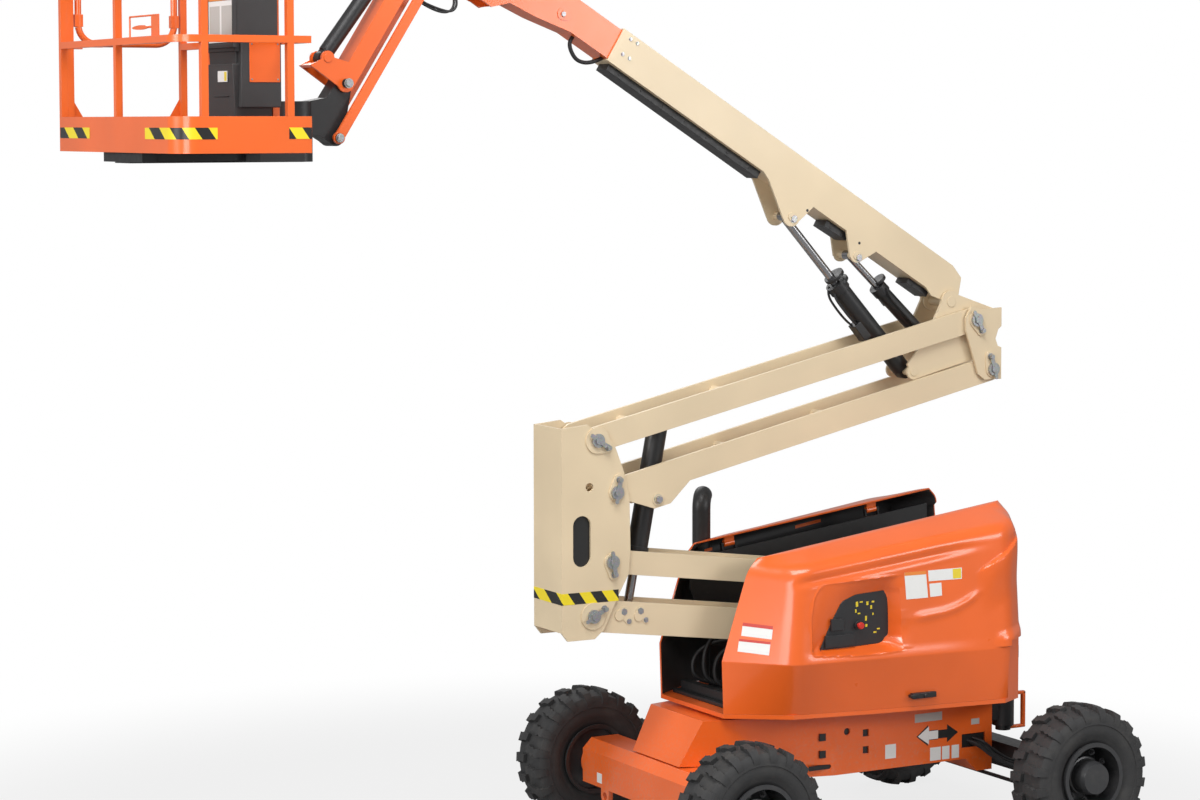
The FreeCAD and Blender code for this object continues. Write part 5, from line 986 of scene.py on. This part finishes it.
band = bmesh.new()
front, reach, depth = tower["bandFront"], tower["plateFace"], tower["bandDepth"]
box(band, (front - depth, -reach - depth, tower["bandLow"]), (front, reach + depth, tower["bandHigh"]))
for low, high in ((-reach - depth, -reach), (reach, reach + depth)):
    box(band, (front, low, tower["bandLow"]), (tower["bandEnd"], high, tower["bandHigh"]))
finish("towerBand", band, "upright", "hazard")
# black sheets just inside the slot's walls: painted shade, for the unlit inside of the upright
slotShade = bmesh.new()
(left, right), (foot, top) = tower["slotX"], tower["slotZ"]
for low, high in ((-tower["slotOuter"], -tower["slotInner"]), (tower["slotInner"], tower["slotOuter"])):
    box(slotShade, (left, low, foot), (right, high, top))
finish("slotPaintedShade", slotShade, "upright", "ink")
print("tower made")


# main boom: hose tray under it, nose bolts, lug pins, black discs as painted shade in the lug holes, valve
# blocks and hoses
boom = {
    "face": 0.098,
    # the tray's runs along the boom's lower edge in x and z, and their depths, clear of the cylinders
    "trays": [((-0.085, 4.772), (0.960, 4.1255), 0.052), ((1.430, 3.8128), (1.590, 3.722), 0.034),
              ((2.040, 3.4414), (2.190, 3.350), 0.026)],
    "trayHalf": 0.062, "trayTop": 0.01, "rivetEvery": 0.17, "rivetRadius": 0.006, "rivetHeight": 0.003,
    "noseBolts": [(0.0339, 4.9077), (0.0789, 4.8829), (-0.0201, 4.8196), (0.0248, 4.7947)],
    "lugPins": [(1.1685, 3.8364), (1.6431, 3.5890)], "lugHoles": [(1.2687, 3.884), (1.6495, 3.6772)],
    "noseRadius": 0.0095, "noseHeight": 0.007, "lugRadius": 0.021, "lugHeight": 0.012, "holeRadius": 0.009,
    "holeDepth": 0.0008,
    "noseHose": [(-0.115, -0.030, 4.800), (-0.190, -0.030, 4.765), (-0.290, -0.030, 4.775),
                 (-0.338, -0.030, 4.850), (-0.335, -0.030, 4.905), (-0.300, -0.030, 4.935)],
    "noseHoseRadius": 0.012,
}
tray = bmesh.new()
half = boom["trayHalf"]
for start, end, depth in boom["trays"]:
    run = Vector((end[0] - start[0], 0, end[1] - start[1]))
    turn = run.to_track_quat("X", "Z").to_matrix().to_4x4()
    where = Matrix.Translation((start[0], 0, start[1])) @ turn
    box(tray, (0, -half, -depth), (run.length, half, boom["trayTop"]), where)
    count = max(2, round(run.length / boom["rivetEvery"]))
    for index in range(count):
        for side in (-1, 1):
            spot = where @ Vector((run.length * (index + 0.5) / count, side * half, -depth * 0.6))
            head = spot + Vector((0, side * boom["rivetHeight"], 0))
            rod(tray, spot, head, boom["rivetRadius"], sides=12)
finish("boomTray", tray, "main_boom", "black_paint", smooth=35, bevel=0.003)
boomBolts = bmesh.new()
boomHoleShade = bmesh.new()
face = boom["face"]
for outward in (-1, 1):
    for spot in boom["noseBolts"]:
        bolt(boomBolts, spot, boom["noseRadius"], face, boom["noseHeight"], outward)
    for spot in boom["lugPins"]:
        bolt(boomBolts, spot, boom["lugRadius"], face, boom["lugHeight"], outward)
    # black discs on the faces at the lug holes: painted shade for the holes' dark insides
    for spot in boom["lugHoles"]:
        post(boomHoleShade, spot, face, face + boom["holeDepth"], boom["holeRadius"], outward, sides=20)
finish("boomBolts", boomBolts, "main_boom", "zinc", smooth=35)
finish("boomHoleShade", boomHoleShade, "main_boom", "ink", smooth=35)


def onAxis(start, end, along, across, side):
    # a point beside a cylinder: along its axis from start, across it in its plane, and sideways
    axis = (Vector(end) - Vector(start)).normalized()
    return Vector(start) + axis * along + Vector((-axis.z, 0, axis.x)) * across + Vector((0, side, 0))


liftAxis = ((2.0461, 0, 2.8669), (1.1965, 0, 3.8649))
levelAxis = ((2.1891, 0, 3.0819), (1.6842, 0, 3.6313))
# a block is from and to along the axis, across it, and from and to sideways
valveBlocks = {
    "liftValves": {
        "body": "lift_cylinder_barrel", "axis": liftAxis, "collars": [(0.785, 0.066), (0.735, 0.066)],
        "blocks": [(0.345, 0.47, 0.075, -0.040, 0.040), (0.42, 0.50, -0.030, -0.092, -0.040)],
    },
    "levelValve": {
        "body": "level_cylinder_barrel", "axis": levelAxis, "collars": [(0.475, 0.047)],
        "blocks": [(0.30, 0.37, 0.018, -0.078, -0.030)],
    },
}
valveHalf, collarWidth = 0.032, 0.022
for name, valve in valveBlocks.items():
    valves = bmesh.new()
    start, end = valve["axis"]
    turn = (Vector(end) - Vector(start)).to_track_quat("X", "Z").to_matrix().to_4x4()
    for low, high, across, near, far in valve["blocks"]:
        where = Matrix.Translation(onAxis(start, end, (low + high) / 2, across, 0)) @ turn
        reach = (high - low) / 2
        box(valves, (-reach, near, -valveHalf), (reach, far, valveHalf), where)
    for along, radius in valve["collars"]:
        ends = [onAxis(start, end, place, 0, 0) for place in (along, along + collarWidth)]
        rod(valves, *ends, radius, sides=36)
    finish(name, valves, valve["body"], "black_paint", smooth=35, bevel=0.003)
# hoses beside the cylinders: body, axis, radius, and points along the axis, across it and sideways
cylinderHoses = {
    "liftHoseNear": ("lift_cylinder_barrel", liftAxis, 0.0075, [
        (0.74, 0.062, -0.02), (0.72, 0.095, -0.025), (0.60, 0.098, -0.03), (0.50, 0.092, -0.03),
        (0.46, 0.08, -0.02)]),
    "liftHoseFar": ("lift_cylinder_barrel", liftAxis, 0.0075, [
        (0.76, 0.060, 0.02), (0.74, 0.105, 0.02), (0.60, 0.112, 0.02), (0.48, 0.10, 0.02),
        (0.44, 0.08, 0.02)]),
}
for index, side in enumerate((-0.064, -0.052)):
    cylinderHoses[f"levelHose{index}"] = ("level_cylinder_barrel", levelAxis, 0.005, [
        (0.44, 0.020, side), (0.40, 0.036, side), (0.36, 0.040, side), (0.14, 0.045 + side / 4, side),
        (0.10, 0.020, side / 2)])
for name, (body, axis, radius, spots) in cylinderHoses.items():
    tube(name, [onAxis(*axis, *spot) for spot in spots], radius, body)
tube("noseHose", boom["noseHose"], boom["noseHoseRadius"], "main_boom")
print("boom made")


# jib: the pin bolts of its foot, the fly boom's pin plates, and the hose loops at the fly boom's nose
jib = {
    # bolts: spot in x and z, and radius
    "footBolts": [((-1.7845, 4.6409), 0.022), ((-1.8403, 4.3370), 0.020)],
    "footFace": 0.122, "footHeight": 0.012,
    "flyBolt": ((-0.4105, 5.0486), 0.016), "flyFace": 0.085, "flyHeight": 0.014,
    "plateTail": (-0.385, 5.036), "plateRadius": (0.036, 0.026), "plateDepth": 0.004,
    "hoseShifts": (0.0, 0.018), "hoseSide": -0.040, "hoseRadius": 0.007,
}
footBolts, flyBolts, flyPlates = bmesh.new(), bmesh.new(), bmesh.new()
flyPin, flyRadius = jib["flyBolt"]
radii = jib["plateRadius"]
for outward in (-1, 1):
    for spot, radius in jib["footBolts"]:
        bolt(footBolts, spot, radius, jib["footFace"], jib["footHeight"], outward)
    bolt(flyBolts, flyPin, flyRadius, jib["flyFace"], jib["flyHeight"], outward)
    strap(flyPlates, flyPin, jib["plateTail"], *radii, jib["flyFace"], jib["plateDepth"], outward)
finish("jibFootBolts", footBolts, "jib_foot", "zinc", smooth=35)
finish("flyPinPlates", flyPlates, "fly_boom", "orange_paint", smooth=40)
finish("flyBolts", flyBolts, "fly_boom", "zinc", smooth=35)
side = jib["hoseSide"]
for index, shift in enumerate(jib["hoseShifts"]):
    tube(f"jibHose{index}", [
        (-1.190, side + shift, 5.300), (-1.330, side, 5.200), (-1.335 + shift, side, 5.115),
        (-1.200, side, 5.050 + shift), (-1.115 + shift, side, 5.045), (-1.080 + shift, side, 5.110),
        (-1.110 + shift, side + shift, 5.200)], jib["hoseRadius"], "jib_base")
print("jib made")


# platform: warning bands, moulded console, gate loop and a small bracket
toeSkin = skinOf(frame["nodes"]["platform_toe_board"])
bandLow, bandHigh = 4.337, 4.397
toeBands = {
    "toeBandFront": [(-3.1105, 0.903), (-3.1105, 0.409)],
    "toeBandCorner": [(-3.1105, -0.4577), (-3.1105, -0.77), (-3.1105, -0.85), (-3.1105, -0.914),
                      (-3.05, -0.914), (-2.97, -0.914), (-2.885, -0.914)],
    "toeBandEnd": [(-2.4846, -0.914), (-2.3555, -0.914)],
    "toeBandFar": [(-2.4846, 0.914), (-2.3555, 0.914)],
}
for name, route in toeBands.items():
    columns = [((x, y, bandHigh), (x, y, bandLow)) for x, y in route]
    drape(name, "platform", toeSkin, columns, "hazard", rows=1)

# blocks and films are given by two corners
console = {
    "blocks": [((-2.650, -0.570, 4.800), (-2.400, -0.165, 5.330)),
               ((-2.6625, -0.585, 4.820), (-2.640, -0.185, 4.842)),
               ((-2.6625, -0.585, 4.842), (-2.640, -0.570, 5.300)),
               ((-2.6625, -0.200, 4.842), (-2.640, -0.185, 5.300)),
               ((-2.655, -0.5, 4.56), (-2.664, -0.30, 4.566))],
    # the same, and how much the lower end is drawn in
    "tapered": [((-2.640, -0.560, 4.700), (-2.410, -0.180, 4.830), 0.97),
                ((-2.6625, -0.575, 4.3969), (-2.430, -0.150, 4.735), 0.88)],
    "desk": [(-2.6625, 5.300), (-2.3925, 5.300), (-2.3925, 5.4329), (-2.430, 5.4329), (-2.6625, 5.352)],
    "deskSide": -0.150, "deskWidth": 0.450,
    "nearBox": ((-2.622, -0.600, 4.503), (-2.3925, -0.320, 4.862)),
    "cover": ((-2.576, -0.603, 4.637), (-2.400, -0.600, 4.854)),
    "coverBolts": [(x, z) for x in (-2.562, -2.414) for z in (4.652, 4.839)],
    "films": {
        "white": [((-2.6513, -0.560, 4.850), (-2.6500, -0.215, 5.072)),
                  ((-2.6640, -0.500, 4.640), (-2.6600, -0.370, 4.698))],
        "orangeFilm": [((-2.6513, -0.560, 5.074), (-2.6500, -0.215, 5.110))],
        "yellow": [((-2.6642, -0.495, 4.645), (-2.6600, -0.462, 4.693))],
        "grey": [((-2.6516, -0.545, 4.875), (-2.6512, -0.400, 5.045)),
                 ((-2.6516, -0.375, 4.875), (-2.6512, -0.230, 5.045))],
    },
    "deskMiddle": (-2.55, -0.375, 5.395), "deskTilt": -19.2,
    # on the desk: the knobs' places, the radius, foot and top of their parts, and the switches' places
    "knobs": (-0.135, 0.135), "knobX": 0.02,
    "knobParts": [(0.030, 0, 0.008), (0.022, 0.008, 0.016), (0.006, 0.016, 0.030)],
    "switches": (-0.06, -0.03, 0.0, 0.03, 0.06), "switchX": -0.03, "switchRadius": 0.005,
    "switchHeight": 0.010,
}


def tapered(mesh, low, high, scale):
    # a moulded block whose lower end is a little smaller
    made = box(mesh, low, high)
    middle = (Vector(low) + Vector(high)) / 2
    for vert in made:
        if vert.co.z < middle.z:
            vert.co.x = high[0] - (high[0] - vert.co.x) * scale
            vert.co.y = middle.y + (vert.co.y - middle.y) * scale


housing = bmesh.new()
for corners in console["blocks"]:
    box(housing, *corners)
for block in console["tapered"]:
    tapered(housing, *block)
place = Matrix.Translation((0, console["deskSide"], 0)) @ standUp
plate(housing, console["desk"], console["deskWidth"], place)
finish("consoleHousing", housing, "platform", "console", smooth=35, bevel=0.010,
       replaced=["control_console"])
nearBox = bmesh.new()
box(nearBox, *console["nearBox"])
finish("consoleBox", nearBox, "platform", "console", smooth=35, bevel=0.005)
coverPlate = bmesh.new()
box(coverPlate, *console["cover"])
finish("consoleCover", coverPlate, "platform", "orange_paint", smooth=35, bevel=0.0015)
coverBolts = bmesh.new()
for spot in console["coverBolts"]:
    bolt(coverBolts, spot, 0.004, 0.603, 0.003, -1)
finish("consoleBolts", coverBolts, "platform", "zinc", smooth=35)
for film, sheets in console["films"].items():
    mesh = bmesh.new()
    for corners in sheets:
        box(mesh, *corners)
    finish(f"consoleLabel{film.title()}", mesh, "platform", film)
switches = bmesh.new()
tilt = Matrix.Translation(console["deskMiddle"]) @ Matrix.Rotation(math.radians(console["deskTilt"]), 4, "Y")
for y in console["knobs"]:
    for radius, low, high in console["knobParts"]:
        foot, top = (tilt @ Vector((console["knobX"], y, height)) for height in (low, high))
        rod(switches, foot, top, radius)
for y in console["switches"]:
    foot, top = (tilt @ Vector((console["switchX"], y, height)) for height in (0, console["switchHeight"]))
    rod(switches, foot, top, console["switchRadius"], sides=12)
finish("consoleSwitches", switches, "platform", "panel", smooth=35)

# the gate: one bent tube with a bar across its top, and plates that hang it on its post
gateShape = {"radius": 0.019, "bow": 0.11, "bowStep": 9, "hingeLow": 0.13, "hingeHigh": 0.10,
             "hinge": Vector((0.024, 0.0185, 0.035))}
low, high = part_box("platform_gate")
radius, bow = gateShape["radius"], gateShape["bow"]
left, right, floorLine, topLine = low.x + radius, high.x - radius, low.z + radius, high.z - radius
y = (low.y + high.y) / 2
gate = bmesh.new()
for x, side in ((left, 1), (right, -1)):
    arc = [Vector((x + side * bow * (1 - math.cos(turn)), y, floorLine + bow * (1 - math.sin(turn))))
           for turn in [math.radians(angle) for angle in range(0, 91, gateShape["bowStep"])]]
    rod(gate, (x, y, floorLine + bow), (x, y, topLine), radius)
    for start, end in zip(arc, arc[1:]):
        rod(gate, start, end, radius)
rod(gate, (left + bow, y, floorLine), (right - bow, y, floorLine), radius)
rod(gate, (left - radius, y, topLine), (right + radius, y, topLine), radius)
for x in (left, right):
    for height in (floorLine + gateShape["hingeLow"], topLine - gateShape["hingeHigh"]):
        middle = Vector((x, y, height))
        box(gate, middle - gateShape["hinge"], middle + gateShape["hinge"])
finish("gateLoop", gate, "gate", "orange_paint", smooth=40, replaced=["platform_gate"])

# the small bracket on the open end, with its oval paddle
endBracket = {
    "bars": [((-3.09, -0.19, 4.87), (-3.09, -0.19, 4.985), 0.005),
             ((-3.09, -0.19, 4.985), (-3.09, -0.62, 4.985), 0.005),
             ((-3.09, -0.24, 4.925), (-3.09, -0.53, 4.925), 0.006)],
    "plate": ((-3.094, -0.63, 4.872), (-3.089, -0.52, 4.988)),
    "paddle": ((-3.100, -0.370, 4.925), (-3.092, -0.370, 4.925), 0.012), "stretch": 9.5,
}
bracket = bmesh.new()
for bar in endBracket["bars"]:
    rod(bracket, *bar, sides=12)
box(bracket, *endBracket["plate"])
paddle = rod(bracket, *endBracket["paddle"], sides=28)
middle = Matrix.Translation((0, -endBracket["paddle"][0][1], 0))
bmesh.ops.scale(bracket, vec=(1, endBracket["stretch"], 1), verts=paddle, space=middle)
finish("endBracket", bracket, "platform", "orange_paint", smooth=40)
print("platform made")


# labels without words on the hood: film, lift, and the top and bottom points of its left and right edges
nearSkin = skinOf(bpy.data.objects["nearHood"])
hoodFilms = {
    "frontLabel": ("white", 0.0012, [((0.6165, -0.4165, 1.4543), (0.599, -0.4253, 1.3777)),
                                     ((0.7386, -0.5592, 1.4426), (0.7226, -0.5683, 1.3662))]),
    "frontHeader": ("redFilm", 0.0018, [((0.6165, -0.4165, 1.4543), (0.612, -0.4187, 1.4345)),
                                        ((0.7386, -0.5592, 1.4426), (0.7344, -0.5615, 1.4230))]),
    "frontLower": ("white", 0.0012, [((0.5883, -0.42, 1.3598), (0.5713, -0.4281, 1.2861)),
                                     ((0.7166, -0.5668, 1.3516), (0.6994, -0.575, 1.2737))]),
    "frontFooter": ("redFilm", 0.0018, [((0.5883, -0.42, 1.3598), (0.5850, -0.4216, 1.3455)),
                                        ((0.7166, -0.5668, 1.3516), (0.7133, -0.5684, 1.3370))]),
    "sideSheet": ("white", 0.0012, [((1.5723, -0.7086, 1.7208), (1.5753, -0.7266, 1.5596)),
                                    ((1.7205, -0.7211, 1.722), (1.7254, -0.739, 1.5616))]),
    "sideHeader": ("orangeFilm", 0.0018, [((1.5723, -0.7086, 1.7208), (1.5728, -0.712, 1.7005)),
                                          ((1.7205, -0.7211, 1.722), (1.7211, -0.724, 1.7015))]),
    "sideCells": ("white", 0.0012, [((1.7361, -0.7224, 1.7226), (1.737, -0.7295, 1.6581)),
                                    ((1.969, -0.7447, 1.7265), (1.9647, -0.7514, 1.659))]),
    "sideCell": ("yellow", 0.0018, [((1.905, -0.738, 1.7215), (1.904, -0.745, 1.6640)),
                                    ((1.963, -0.744, 1.7225), (1.9600, -0.751, 1.6645))]),
    "sideSmall": ("white", 0.0012, [((1.7395, -0.7313, 1.643), (1.7412, -0.7401, 1.5636)),
                                    ((1.8227, -0.7382, 1.6452), (1.8229, -0.7466, 1.5672))]),
}
for name, (film, lift, columns) in hoodFilms.items():
    drape(name, "near_hood", nearSkin, columns, film, lift)
latchShape = {
    "blocks": [((1.600, -0.772, 0.958), (1.770, -0.738, 0.992)),
               ((1.585, -0.776, 0.966), (1.640, -0.738, 0.986))],
    "lock": (1.690, 0.974), "lockReach": (0.735, 0.782), "lockRadius": 0.013,
}
latch = bmesh.new()
for corners in latchShape["blocks"]:
    box(latch, *corners)
post(latch, latchShape["lock"], *latchShape["lockReach"], latchShape["lockRadius"], -1)
finish("hoodLatch", latch, "near_hood", "black_paint", smooth=35, bevel=0.004)

# labels without words on the chassis sides: film, from and to in x, and from and to in z
sideLabels = {
    "face": 0.500, "lift": 0.001,
    "films": [("grey", (1.801, 2.004), (0.748, 0.800)), ("grey", (2.225, 2.286), (0.696, 0.732)),
              ("white", (1.583, 1.662), (0.547, 0.634)), ("white", (1.916, 1.996), (0.500, 0.582)),
              ("white", (2.006, 2.061), (0.500, 0.582)), ("white", (2.078, 2.133), (0.500, 0.582))],
    # a black arrow head and a white one with a black rim, back to back
    "arrow": [(0, 0.026), (0.068, 0.026), (0.068, 0.056), (0.150, 0.0), (0.068, -0.056), (0.068, -0.026),
              (0, -0.026)],
    "arrowSpot": (1.9745, 0.660), "arrowDepth": 0.0012, "rimDepth": 0.0004,
}
chassisFilms = {"white": bmesh.new(), "grey": bmesh.new(), "ink": bmesh.new()}
face, lift, depth = sideLabels["face"], sideLabels["lift"], sideLabels["arrowDepth"]
arrow = sideLabels["arrow"]
backArrow = [(-x, z) for x, z in reversed(arrow)]
rim = [(-x * 1.05 - 0.003, z * 1.16) for x, z in reversed(arrow)]
for side in (-1, 1):
    near, far = sorted((side * face, side * (face + lift)))
    for film, (left, right), (low, high) in sideLabels["films"]:
        box(chassisFilms[film], (left, near, low), (right, far, high))
    x, z = sideLabels["arrowSpot"]
    facing = Matrix.Translation((x, -face if side < 0 else face + depth, z)) @ standUp
    plate(chassisFilms["ink"], arrow, depth, facing)
    plate(chassisFilms["white"], backArrow, depth, facing)
    plate(chassisFilms["ink"], rim, sideLabels["rimDepth"], facing)
for name, mesh in chassisFilms.items():
    finish(f"chassisLabel{name.title()}", mesh, "chassis", name)

# hoses from the chassis port to the front axle: start, middle and end
axleHoses = [
    ((2.20, -0.470, 0.600), (2.330, -0.560, 0.520), (2.500, -0.600, 0.440)),
    ((2.22, -0.470, 0.585), (2.345, -0.575, 0.490), (2.520, -0.620, 0.420)),
    ((2.24, -0.470, 0.612), (2.350, -0.545, 0.540), (2.500, -0.580, 0.455)),
    ((2.26, -0.470, 0.590), (2.370, -0.590, 0.475), (2.530, -0.640, 0.410)),
    ((2.28, -0.470, 0.570), (2.380, -0.550, 0.460), (2.540, -0.570, 0.425)),
]
leaving, arriving = Vector((0.03, -0.055, -0.005)), Vector((-0.05, -0.005, 0.01))
for index, route in enumerate(axleHoses):
    start, middle, end = (Vector(spot) for spot in route)
    tube(f"axleHose{index}", [start, start + leaving, middle, end + arriving, end], 0.011, "chassis")

# black sheets behind the openings of the chassis side, as painted shade: the middle in x and z, and half the
# width and height
openings = [(1.3045, 0.744, 0.021, 0.021), (1.1165, 0.541, 0.079, 0.014), (2.2430, 0.5985, 0.0885, 0.0425)]
openings += [(x, z, 0.022, 0.022) for x in (1.1375, 1.4415) for z in (0.619, 0.723)]
# each sheet is painted shade for the dark inside seen through an opening
openingShade = bmesh.new()
for x, z, width, height in openings:
    box(openingShade, (x - width, -0.4885, z - height), (x + width, -0.4865, z + height))
finish("openingPaintedShade", openingShade, "chassis", "ink")

# the open front of the turntable: a black tray and the hoses that lie on it
bay = {
    "blocks": [((0.600, -0.380, 0.906), (1.300, 0.380, 0.930)),
               ((0.640, -0.350, 0.930), (0.700, 0.350, 0.985))],
    # how far to the side a hose starts, how far forward it bows, and how high it rises
    "hoses": [(-0.05, 0.10, 0.0), (0.03, 0.16, 0.05), (0.20, 0.06, 0.10), (0.30, 0.14, 0.02)],
    "hoseRadius": 0.014,
}
bayTray = bmesh.new()
for corners in bay["blocks"]:
    box(bayTray, *corners)
finish("bayTray", bayTray, "turntable", "black_paint", smooth=35, bevel=0.004)
for index, (side, reach, rise) in enumerate(bay["hoses"]):
    route = [(1.050, side, 1.180 + rise), (0.900, side + 0.02, 1.200 + rise),
             (0.770 - reach * 0.3, side + 0.05, 1.120 + rise), (0.740 - reach * 0.2, side + 0.03, 0.985),
             (0.900, side - 0.03, 0.950), (1.100, side - 0.04, 0.948)]
    tube(f"bayHose{index}", route, bay["hoseRadius"], "turntable")

# orange guards round the lockout cylinders: from and to in x, and from and to in z
guardShape = {
    "near": 0.455, "far": 0.485,
    "bars": [((2.420, 2.655), (0.846, 0.866)), ((2.632, 2.655), (0.650, 0.866)),
             ((2.540, 2.655), (0.636, 0.656))],
}
guards = bmesh.new()
for side in (-1, 1):
    near, far = sorted((side * guardShape["near"], side * guardShape["far"]))
    for (left, right), (low, high) in guardShape["bars"]:
        box(guards, (left, near, low), (right, far, high))
finish("lockoutGuards", guards, "chassis", "orange_paint", smooth=35, bevel=0.006)

# a warning label on the counterweight's corners, and a blank one on the rear axle
weightSkin = skinOf(frame["nodes"]["counterweight"])
tailX, tailSide, tailTop, tailFoot = (2.430, 2.500), (0.706, 0.668), 1.205, 1.130
for name, side in (("tailLabelNear", -1), ("tailLabelFar", 1)):
    columns = [((x, side * y, tailTop), (x, side * y, tailFoot)) for x, y in zip(tailX, tailSide)]
    drape(name, "turntable", weightSkin, columns, "hazard")
axleLabel = bmesh.new()
box(axleLabel, (0.1833, 0.537, 0.346), (0.1845, 0.598, 0.407))
finish("axleLabel", axleLabel, "chassis", "white")
print("chassis labels made")


# the CAD nodes take the finish of their slot
for entry in frame["record"]["subparts"]:
    for slot in frame["nodes"][entry["node"]].material_slots:
        slot.material = finishes[entry["material_slot"]]
print("CAD nodes dressed")


# floor, light and camera: a lamp is its place, what it points at, its width and its power
studio = {
    "cameraPlace": (-8.6915, -15.481, 4.425), "yaw": 28.97, "pitch": -3.748, "roll": -0.09,
    "lens": 90.1, "sensor": 36, "shiftY": -0.068, "clipEnd": 200,
    # the floor turns white to the camera between two distances from its middle, both squared
    "floorSize": 60.0, "floorAlbedo": 0.36, "floorRoughness": 0.9, "floorGlow": 0.80,
    "floorFade": (12.0, 42.0), "world": 0.34, "lampHeight": 0.6,
    "lamps": {
        "overLight": ((-2.5, -5.0, 11.5), (0.3, 0, 1.5), 7.5, 900.0),
        "frontLight": ((-9.5, -8.0, 5.0), (0, 0, 2.0), 4.5, 260.0),
        "platformLight": ((-13.0, -0.5, 6.5), (-2.0, 0, 3.5), 4.0, 620.0),
        "sideLight": ((7.0, -10.0, 5.5), (0.5, 0, 1.6), 5.0, 330.0),
        "rimLight": ((3.0, 10.0, 9.0), (0, 0, 2.5), 6.0, 260.0),
    },
}


def floorFinish():
    # a pale floor that keeps the machine's shadow near it, and is plain white to the camera further out
    floor = Finish("studio_floor", (studio["floorAlbedo"],) * 3, studio["floorRoughness"])
    x, y, _ = floor.axes()
    away = floor.ramp(x * x + y * y, *studio["floorFade"])
    seen = floor.node("LightPath", out="Is Camera Ray")
    share = seen * (studio["floorGlow"] + away * (1 - studio["floorGlow"]))
    glow = floor.node("Emission", values={"Color": (1, 1, 1, 1), "Strength": 1.0})
    lit = Wire(floor.tree, floor.shader.outputs["BSDF"])
    mixed = floor.node("MixShader", values={0: share, 1: lit, 2: glow})
    plug(floor.tree, floor.tree.nodes["Material Output"].inputs["Surface"], mixed)
    return floor.material


def areaLight(name, place, aim, width, power):
    lamp = bpy.data.lights.new(name, "AREA")
    lamp.shape = "RECTANGLE"
    lamp.size = width
    lamp.size_y = width * studio["lampHeight"]
    lamp.energy = power
    item = bpy.data.objects.new(name, lamp)
    item.location = place
    item.rotation_euler = (Vector(aim) - Vector(place)).to_track_quat("-Z", "Y").to_euler()
    bpy.context.scene.collection.objects.link(item)


stageMesh = bmesh.new()
bmesh.ops.create_grid(stageMesh, x_segments=1, y_segments=1, size=studio["floorSize"] / 2)
stageData = bpy.data.meshes.new("studioFloor")
stageMesh.to_mesh(stageData)
stageMesh.free()
floor = bpy.data.objects.new("studioFloor", stageData)
stageData.materials.append(floorFinish())
bpy.context.scene.collection.objects.link(floor)

world = bpy.data.worlds.new("studioWorld")
bpy.context.scene.world = world
world.use_nodes = True
sky = world.node_tree.nodes["Background"]
sky.inputs["Color"].default_value = (1, 1, 1, 1)
seen = Wire(world.node_tree, world.node_tree.nodes.new("ShaderNodeLightPath").outputs["Is Camera Ray"])
plug(world.node_tree, sky.inputs["Strength"], seen * (1 - studio["world"]) + studio["world"])
for name, values in studio["lamps"].items():
    areaLight(name, *values)

lens = bpy.data.cameras.new("camera")
lens.lens = studio["lens"]
lens.shift_y = studio["shiftY"]
lens.sensor_width = studio["sensor"]
lens.clip_end = studio["clipEnd"]
camera = bpy.data.objects.new("camera", lens)
camera.matrix_world = (Matrix.Translation(studio["cameraPlace"])
                       @ Matrix.Rotation(math.radians(-studio["yaw"]), 4, "Z")
                       @ Matrix.Rotation(math.radians(90 + studio["pitch"]), 4, "X")
                       @ Matrix.Rotation(math.radians(studio["roll"]), 4, "Z"))
bpy.context.scene.collection.objects.link(camera)
bpy.context.scene.camera = camera
bpy.context.scene.view_settings.view_transform = "Standard"

print("scene ready")
